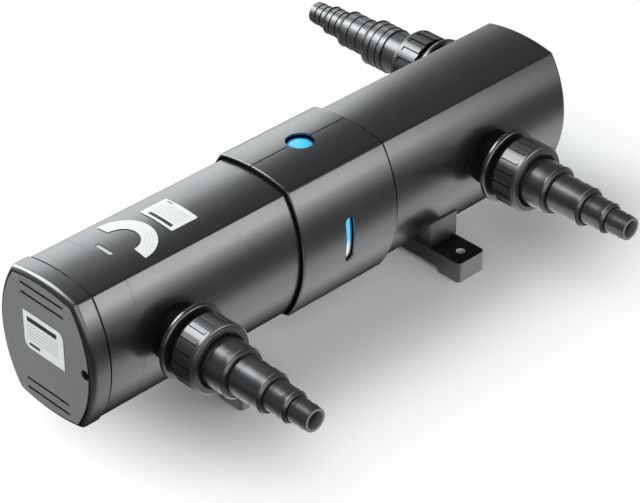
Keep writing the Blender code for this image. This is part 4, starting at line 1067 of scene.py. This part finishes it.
TUBE_GLASS = finish("lamp_glass", {"Coat Weight": 0.6, "Transmission Weight": 0.35}, tube_finish)
tube_line = [(TUBE_ROOT, 0, 0), (TUBE_ROOT, TUBE_RADIUS, 0), (TUBE_TIP, TUBE_RADIUS, TUBE_RADIUS * 0.8),
             (TUBE_TIP, 0, 0)]
tubes = turned("lamp_glass", tube_line, (0, -TUBE_PITCH / 2, AXIS), ALONG, 48)
fuse(tubes, turned("lamp_far", tube_line, (0, TUBE_PITCH / 2, AXIS), ALONG, 48))
fuse(tubes, rod("lamp_bridge", -TUBE_PITCH / 2, TUBE_PITCH / 2, BRIDGE_RADIUS,
                (BRIDGE_X, 0, AXIS), REAR, 32))
complete(tubes, TUBE_GLASS, "head", "lamp_glass", "lamp_tubes")

base = rounded_block("lamp_foot", BASE_LOW, BASE_HIGH, along_axis("x"), 0.004, 5)
soften(base, 0.0008, 3)
for rib in range(3):
    x = RIB_START + rib * RIB_PITCH
    for y_low, y_high in (RIB_SPAN, (-RIB_SPAN[1], -RIB_SPAN[0])):
        cut(base, brick("rib_cut", (x - RIB_HALF, y_low, AXIS - RIB_HEIGHT),
                        (x + RIB_HALF, y_high, AXIS + RIB_HEIGHT)))
for pin in range(4):
    place = (0, (pin - 1.5) * PIN_PITCH, AXIS)
    fuse(base, rod("pin", *PIN_SPAN, PIN_RADIUS, place, ALONG, 20, 0.0005))
complete(base, IVORY, "head", "ivory_plastic", "lamp_base")

# Hose tails
# Stepped hose tails turned in one with a flange. Four sections step down to the tip, each with
# three low barbs whose shoulders face the nut, and the bore steps down inside.
TAIL_RADII = (0.020, 0.016, 0.0125, 0.010)
TAIL_LENGTHS = (0.0245, 0.0322, 0.0215, 0.0195)
TAIL_WALL = 0.0025
TIP_BORE = 0.007
BARB_DEPTH = 0.0007
GROOVE_DEPTH = 0.0013
GROOVE_WIDTH = 0.0003
GAP_WIDTH = 0.0007
LIP_RISE = 0.0011
LIP_FALL = 0.0015
LIP_PROUD = 0.00035
FLANGE_BASE = 0.086
FLANGE_FACE = 0.090
FLANGE_RADIUS = 0.0247
FRONT_SHANK = 0.0054
REAR_SHANK = 0.0268
TIP_SKIN = 0.0001
BORE_PAINTED_LIGHT_SPAN = (0.181, 0.194)
UNIONS = (("left", LEFT_HOSE, FRONT_SHANK), ("right", RIGHT_HOSE, FRONT_SHANK),
          ("rear", REAR_HOSE, REAR_SHANK))


def fitting_finish(place):
    """Smooth black plastic with rings of faint moulding marks round the hose axis."""
    rings = place.stretched((0.4, 0.004, 0.4)).noise(3.0, 5.0)
    cloud = place.noise(22.0, 4.0)
    gloss = 0.36 + (rings - 0.5) * 0.16 + (cloud - 0.5) * 0.10
    return {"Base Color": cloud.blend(FITTING_DARK, FITTING_LIGHT), "Roughness": gloss,
            "Normal": rings.relief(0.7, 0.0002)}


SATIN = {"Specular IOR Level": 0.7, "Coat Weight": 0.9, "Coat Roughness": 0.28, "Coat IOR": 1.75}
FITTING = finish("fitting_black", SATIN, fitting_finish)


def bore_finish(place):
    """Painted light at the tip of a tail, in grey, and painted shade further in, in black."""
    cloud = place.noise(60.0, 4.0)
    painted_light_share = (abs(place.axis("Y")) + (cloud - 0.5) * 0.002).between(*BORE_PAINTED_LIGHT_SPAN)
    return {"Base Color": painted_light_share.blend((0.012, 0.012, 0.013, 1), (0.20, 0.202, 0.204, 1)),
            "Roughness": 0.38 + (cloud - 0.5) * 0.12}


BORE = finish("fitting_bore", {"Specular IOR Level": 0.5}, bore_finish)


def tail_line(shank):
    """Outer side of a tail from its tip to the flange, then the stepped bore back to the tip."""
    shank_end = FLANGE_FACE + shank
    top = shank_end + sum(TAIL_LENGTHS)
    line = [(top, TIP_BORE, 0.0003)]
    for radius, length in reversed(list(zip(TAIL_RADII, TAIL_LENGTHS))):
        low = radius - BARB_DEPTH
        bottom = radius - GROOVE_DEPTH
        third = length / 3
        root = top - length + LIP_RISE
        if radius == TAIL_RADII[-1]:
            line.append((top, low, 0.0006))
        else:
            line += [(top + LIP_RISE, radius - LIP_FALL, 0.0003),
                     (top - LIP_RISE, radius + LIP_PROUD, 0.0004), (top - 2.2 * LIP_RISE, low, 0.0006)]
        for shoulder in (top - third, top - 2 * third):
            line += [(shoulder, radius, 0.0002), (shoulder, bottom, 0),
                     (shoulder - GROOVE_WIDTH, bottom, 0), (shoulder - GROOVE_WIDTH, low, 0)]
        line.append((root + GAP_WIDTH, radius, 0.0002))
        if radius != TAIL_RADII[0]:
            line += [(root + GAP_WIDTH, bottom, 0), (root, bottom, 0)]
        top -= length
    shank_radius = TAIL_RADII[0] - GROOVE_DEPTH
    line += [(shank_end + LIP_RISE + GAP_WIDTH, shank_radius, 0), (FLANGE_FACE, shank_radius, 0.0005),
             (FLANGE_FACE, FLANGE_RADIUS, 0.0004), (FLANGE_BASE, FLANGE_RADIUS, 0.0004),
             (FLANGE_BASE, TAIL_RADII[0] - TAIL_WALL, 0.0004)]
    base_end = shank_end
    for radius, smaller, length in zip(TAIL_RADII, TAIL_RADII[1:], TAIL_LENGTHS):
        base_end += length
        onward = TIP_BORE if smaller == TAIL_RADII[-1] else smaller - TAIL_WALL
        line += [(base_end - TAIL_WALL, radius - TAIL_WALL, 0.0004), (base_end - TAIL_WALL, onward, 0.0004)]
    return line


def copied(piece, name, shift, to_rear=False):
    """A copy with a mesh of its own, shifted along the body and turned to the rear where asked."""
    select_only(piece)
    bpy.ops.object.duplicate()
    copy = named(name)
    open_up(copy)
    bpy.ops.transform.translate(value=(shift, 0, 0))
    if to_rear:
        bpy.ops.transform.rotate(value=math.pi, orient_axis="Z", center_override=(REAR_HOSE, 0, AXIS))
    bpy.ops.object.mode_set(mode="OBJECT")
    return copy


def looks_inwards(face, x):
    """Whether a face is turned towards a hose's axis."""
    across = face.center - Vector((x, face.center.y, AXIS))
    return across.dot(face.normal) < -0.5 * across.length


tail = turned("tail_left", tail_line(FRONT_SHANK), (LEFT_HOSE, 0, AXIS), FRONT, TURN_STEPS, ring=True)
tails = {
    "left": tail,
    "right": copied(tail, "tail_right", RIGHT_HOSE - LEFT_HOSE),
    "rear": turned("tail_rear", tail_line(REAR_SHANK), (REAR_HOSE, 0, AXIS), REAR, TURN_STEPS, ring=True),
}
# The tip face and bore of each tail get painted light towards the tip and painted shade further in.
for name, x, shank in UNIONS:
    tip = FLANGE_FACE + shank + sum(TAIL_LENGTHS) - TIP_SKIN
    complete(tails[name], FITTING, "tail_" + name, "fitting_plastic", "hose_tail_" + name)
    repaint(tails[name], BORE, lambda face: abs(face.center.y) > tip or looks_inwards(face, x))

# Union nuts
# Threaded nuts that draw the tails on to the bosses. Each has a plain skirt, a band with eighteen
# shallow grip recesses that stop short of the front, and a thin rim round a wide front opening.
NUT_BACK = 0.0705
NUT_SKIRT_STOP = 0.0763
NUT_SKIRT = 0.0252
NUT_THREAD = 0.0245
NUT_OPENING = 0.022
NUT_LEDGE = 0.0903
NUT_RIM = 0.0264
NUT_FRONT = 0.0987
NUT_RIM_START = 0.0964
GRIP_COUNT = 18
GRIP_TURN = math.radians(4.8)
GRIP_WIDTH = math.radians(9.5)
GRIP_DEPTH = 0.0006
SLIT_WIDTH = 0.0009
SLIT_DEPTH = 0.0020
SLIT_PAST = 0.00005
GRIP_STOP = 0.0934
NUT_CREST = 0.028
NUT_STEPS = 180
GRIP_TOP = NUT_CREST + 0.003
GRIP_HALF = NUT_CREST * GRIP_WIDTH / 2
SKIN = 0.0002

nut = turned("nut_left", [
    (NUT_BACK, NUT_THREAD, 0.0002), (NUT_BACK, NUT_SKIRT, 0.0003), (NUT_SKIRT_STOP, NUT_SKIRT, 0.0002),
    (NUT_SKIRT_STOP, NUT_CREST, 0.0003), (NUT_RIM_START, NUT_CREST, 0.0007),
    (NUT_RIM_START + 0.0008, NUT_RIM + 0.0002, 0.0004), (NUT_FRONT, NUT_RIM, 0.0007),
    (NUT_FRONT, NUT_OPENING, 0.0006), (NUT_LEDGE, NUT_OPENING, 0), (NUT_LEDGE, NUT_THREAD, 0)],
    (LEFT_HOSE, 0, AXIS), FRONT, NUT_STEPS, ring=True)
grip = brick("grip", (NUT_CREST - GRIP_DEPTH, -GRIP_STOP, -GRIP_HALF), (GRIP_TOP, -NUT_BACK, GRIP_HALF))
slits = ((SLIT_PAST, GRIP_HALF - SLIT_WIDTH, -NUT_BACK + SLIT_PAST),
         (SLIT_PAST * 2, -GRIP_HALF * 0.2, SLIT_WIDTH - GRIP_STOP))
for past, z_low, y_high in slits:
    fuse(grip, brick("slit", (NUT_CREST - SLIT_DEPTH - past, -GRIP_STOP - past, z_low),
                     (GRIP_TOP + past, y_high, GRIP_HALF + past)))
grips = []
for turn in range(GRIP_COUNT):
    select_only(grip)
    bpy.ops.object.duplicate()
    grips.append(bpy.context.object)
    open_up(grips[-1])
    angle = GRIP_TURN + GRIP_WIDTH / 2 + math.tau * turn / GRIP_COUNT
    bpy.ops.transform.rotate(value=angle, orient_axis="Y", center_override=(0, 0, 0))
    bpy.ops.transform.translate(value=(LEFT_HOSE, 0, AXIS))
    bpy.ops.object.mode_set(mode="OBJECT")
bpy.data.objects.remove(grip)
for cutter in grips:
    cutter.select_set(True)
bpy.context.view_layer.objects.active = grips[0]
bpy.ops.object.join()
cut(nut, grips[0])
nuts = {
    "left": nut,
    "right": copied(nut, "nut_right", RIGHT_HOSE - LEFT_HOSE),
    "rear": copied(nut, "nut_rear", REAR_HOSE - LEFT_HOSE, to_rear=True),
}
# Each nut's skirt, thread and grip slits get painted shade.
for name, x, shank in UNIONS:
    complete(nuts[name], FITTING, "nut_" + name, "fitting_plastic", "union_nut_" + name)
    repaint(nuts[name], PAINTED_SHADE_BLACK, lambda face: from_axis(face, x) < NUT_CREST - GRIP_DEPTH - SKIN
            and abs(face.center.y) < GRIP_STOP + SKIN)

# Feet
# Two black cross bars with arched undersides and a fixing hole at each end, and a grey saddle block
# screwed on top of each that follows the underside of the body.
FOOT_X = 0.117
FOOT_HALF_WIDTH = 0.015
FOOT_HALF_LENGTH = 0.0748
FOOT_TOP = 0.0184
FOOT_HOLE_Y = 0.0623
SADDLE_TOP = AXIS - 0.040
SADDLE_HALF = 0.0432
ARCH_LOW = (-FOOT_X - 0.03, -0.0525, -0.01)
ARCH_HIGH = (-FOOT_X + 0.03, 0.0525, 0.0046)
HOLE_RADIUS = 0.0032
HOLE_MOUTH = 0.0048
SCREW_Y = SADDLE_HALF - 0.0036
SCREW_RADIUS = 0.0021
SCREW_HEAD = 0.0039
SCREW_SEAT = 0.0102
BED_GAP = 0.00005
BED_REACH = 0.03
# Each bar has one plastic, given by face: the deck gets painted shade, the ends painted light and the hole
# walls a painted highlight.
FOOT_SIDE = plastic("foot_satin", {"Coat Weight": 0.2, "Coat Roughness": 0.35},
                    (0.030, 0.031, 0.032, 1), (0.040, 0.041, 0.042, 1), 0.5, 1200.0, 0.00005)
FOOT_END_PAINTED_LIGHT = plastic("foot_end_painted_light", {"Coat Weight": 0.7, "Coat Roughness": 0.3, "Coat IOR": 1.6},
                   (0.085, 0.087, 0.089, 1), (0.105, 0.107, 0.109, 1), 0.45, 1200.0, 0.00005)
FOOT_DECK_PAINTED_SHADE = plastic("foot_black", {"Specular IOR Level": 0.35},
                    (0.003, 0.003, 0.0035, 1), (0.006, 0.006, 0.0065, 1), 0.34, 1400.0, 0.00003)
FOOT_HOLE = plastic("foot_hole_painted_highlight", {"Coat Weight": 0.4},
                    (0.50, 0.50, 0.50, 1), (0.62, 0.62, 0.62, 1), 0.36, 1200.0, 0.00004)


def saddle_finish(place):
    """Satin grey above, with painted shade darkening it towards the bar."""
    cloud = place.noise(30.0, 4.0)
    height = place.axis("Z") + (cloud - 0.5) * 0.002
    clear_of_painted_shade = height.between(FOOT_TOP + 0.002, FOOT_TOP + 0.018)
    return {"Base Color": clear_of_painted_shade.blend((0.008, 0.008, 0.0085, 1), (0.120, 0.122, 0.124, 1)),
            "Roughness": 0.42 + (cloud - 0.5) * 0.12}


def foot_slot(face, x):
    """Which finish a face of a bar has: 1 on the deck (painted shade), 2 on the ends (painted light), 3 in
    the holes (painted highlight), or else 0.
    """
    if face.normal.z > 0.9 and face.center.z > FOOT_TOP - 0.0005:
        return 1
    if abs(face.normal.y) > 0.9 and abs(face.center.y) > FOOT_HALF_LENGTH - 0.001:
        return 2
    wide = math.hypot(face.center.x - x, abs(face.center.y) - FOOT_HOLE_Y)
    return 3 if wide < 0.004 and face.center.z > 0.0008 else 0


SADDLE = finish("saddle_grey", {"Coat Weight": 0.2, "Coat Roughness": 0.35}, saddle_finish)
foot = rounded_block("foot_left", (-FOOT_X - FOOT_HALF_WIDTH, -FOOT_HALF_LENGTH, 0),
                     (-FOOT_X + FOOT_HALF_WIDTH, FOOT_HALF_LENGTH, FOOT_TOP), along_axis("z"), 0.004, 6)
cut(foot, rounded_block("arch", ARCH_LOW, ARCH_HIGH, lambda edge: along_axis("x")(edge)
                        and edge.verts[0].co.z > 0, 0.0034, 6))
soften(foot, 0.0006, 3)
drill = [(-0.01, 0, 0), (-0.01, HOLE_RADIUS, 0), (FOOT_TOP - 0.0006, HOLE_RADIUS, 0),
         (FOOT_TOP + 0.001, HOLE_MOUTH, 0), (FOOT_TOP + 0.004, HOLE_MOUTH, 0), (FOOT_TOP + 0.004, 0, 0)]
recess = [(-0.01, 0, 0), (-0.01, SCREW_HEAD, 0), (SCREW_SEAT, SCREW_HEAD, 0),
          (SCREW_SEAT, SCREW_RADIUS, 0), (0.03, SCREW_RADIUS, 0), (0.03, 0, 0)]
for side in (-1, 1):
    cut(foot, turned("fixing_hole", drill, (-FOOT_X, side * FOOT_HOLE_Y, 0), UP, 40))
    cut(foot, turned("screw_recess", recess, (-FOOT_X, side * SCREW_Y, 0), UP, 32))
saddle = brick("saddle_block_left", (-FOOT_X - FOOT_HALF_WIDTH, -SADDLE_HALF, FOOT_TOP + FIT),
               (-FOOT_X + FOOT_HALF_WIDTH, SADDLE_HALF, SADDLE_TOP))
cut(saddle, loft("saddle_bed", [
    (-FOOT_X - BED_REACH, BED_GAP), (-FOOT_X + BED_REACH, BED_GAP)], ring=False))
soften(saddle, 0.0002)
right_foot = copied(foot, "foot_right", 2 * FOOT_X)
right_saddle = copied(saddle, "saddle_block_right", 2 * FOOT_X)
for name, x, crossbar, upright in (("left", -FOOT_X, foot, saddle),
                                   ("right", FOOT_X, right_foot, right_saddle)):
    complete(crossbar, FOOT_SIDE, "body", "foot_plastic", "foot_bar_" + name)
    for slot, material in enumerate((FOOT_DECK_PAINTED_SHADE, FOOT_END_PAINTED_LIGHT, FOOT_HOLE), 1):
        repaint(crossbar, material, lambda face: foot_slot(face, x) == slot)
    complete(upright, SADDLE, "body", "foot_plastic", "saddle_" + name)

# Pieces kept from the frame
# Flat rubber seals, the driver block, the head switch, the lamp holder, the sleeve cradle and the
# steel foot screws keep their solids, and get their finishes here.
DRIVER = plastic("driver_case", {"Coat Weight": 0.1},
                 (0.22, 0.23, 0.24, 1), (0.30, 0.31, 0.32, 1), 0.52, 900.0, 0.00006)


def steel_finish(place):
    """Bright steel with fine turning marks."""
    rings = place.stretched((0.2, 0.2, 0.002)).noise(3.0, 4.0)
    return {"Base Color": rings.blend((0.50, 0.50, 0.50, 1), (0.66, 0.66, 0.65, 1)),
            "Roughness": 0.24 + rings * 0.2}


STEEL = finish("screw_steel", {"Metallic": 1.0}, steel_finish)
KEPT = {
    RUBBER: ("body_seal", "sleeve_o_ring", "union_seal_left", "union_seal_right", "union_seal_rear"),
    DRIVER: ("ballast", "safety_switch"),
    IVORY: ("lamp_holder",),
    CLAMP: ("sleeve_support",),
    STEEL: ("foot_screw_left_1", "foot_screw_left_2", "foot_screw_right_1", "foot_screw_right_2"),
}
for material, names in KEPT.items():
    for name in names:
        node = frame["nodes"][name]
        node.data.materials.clear()
        node.data.materials.append(material)
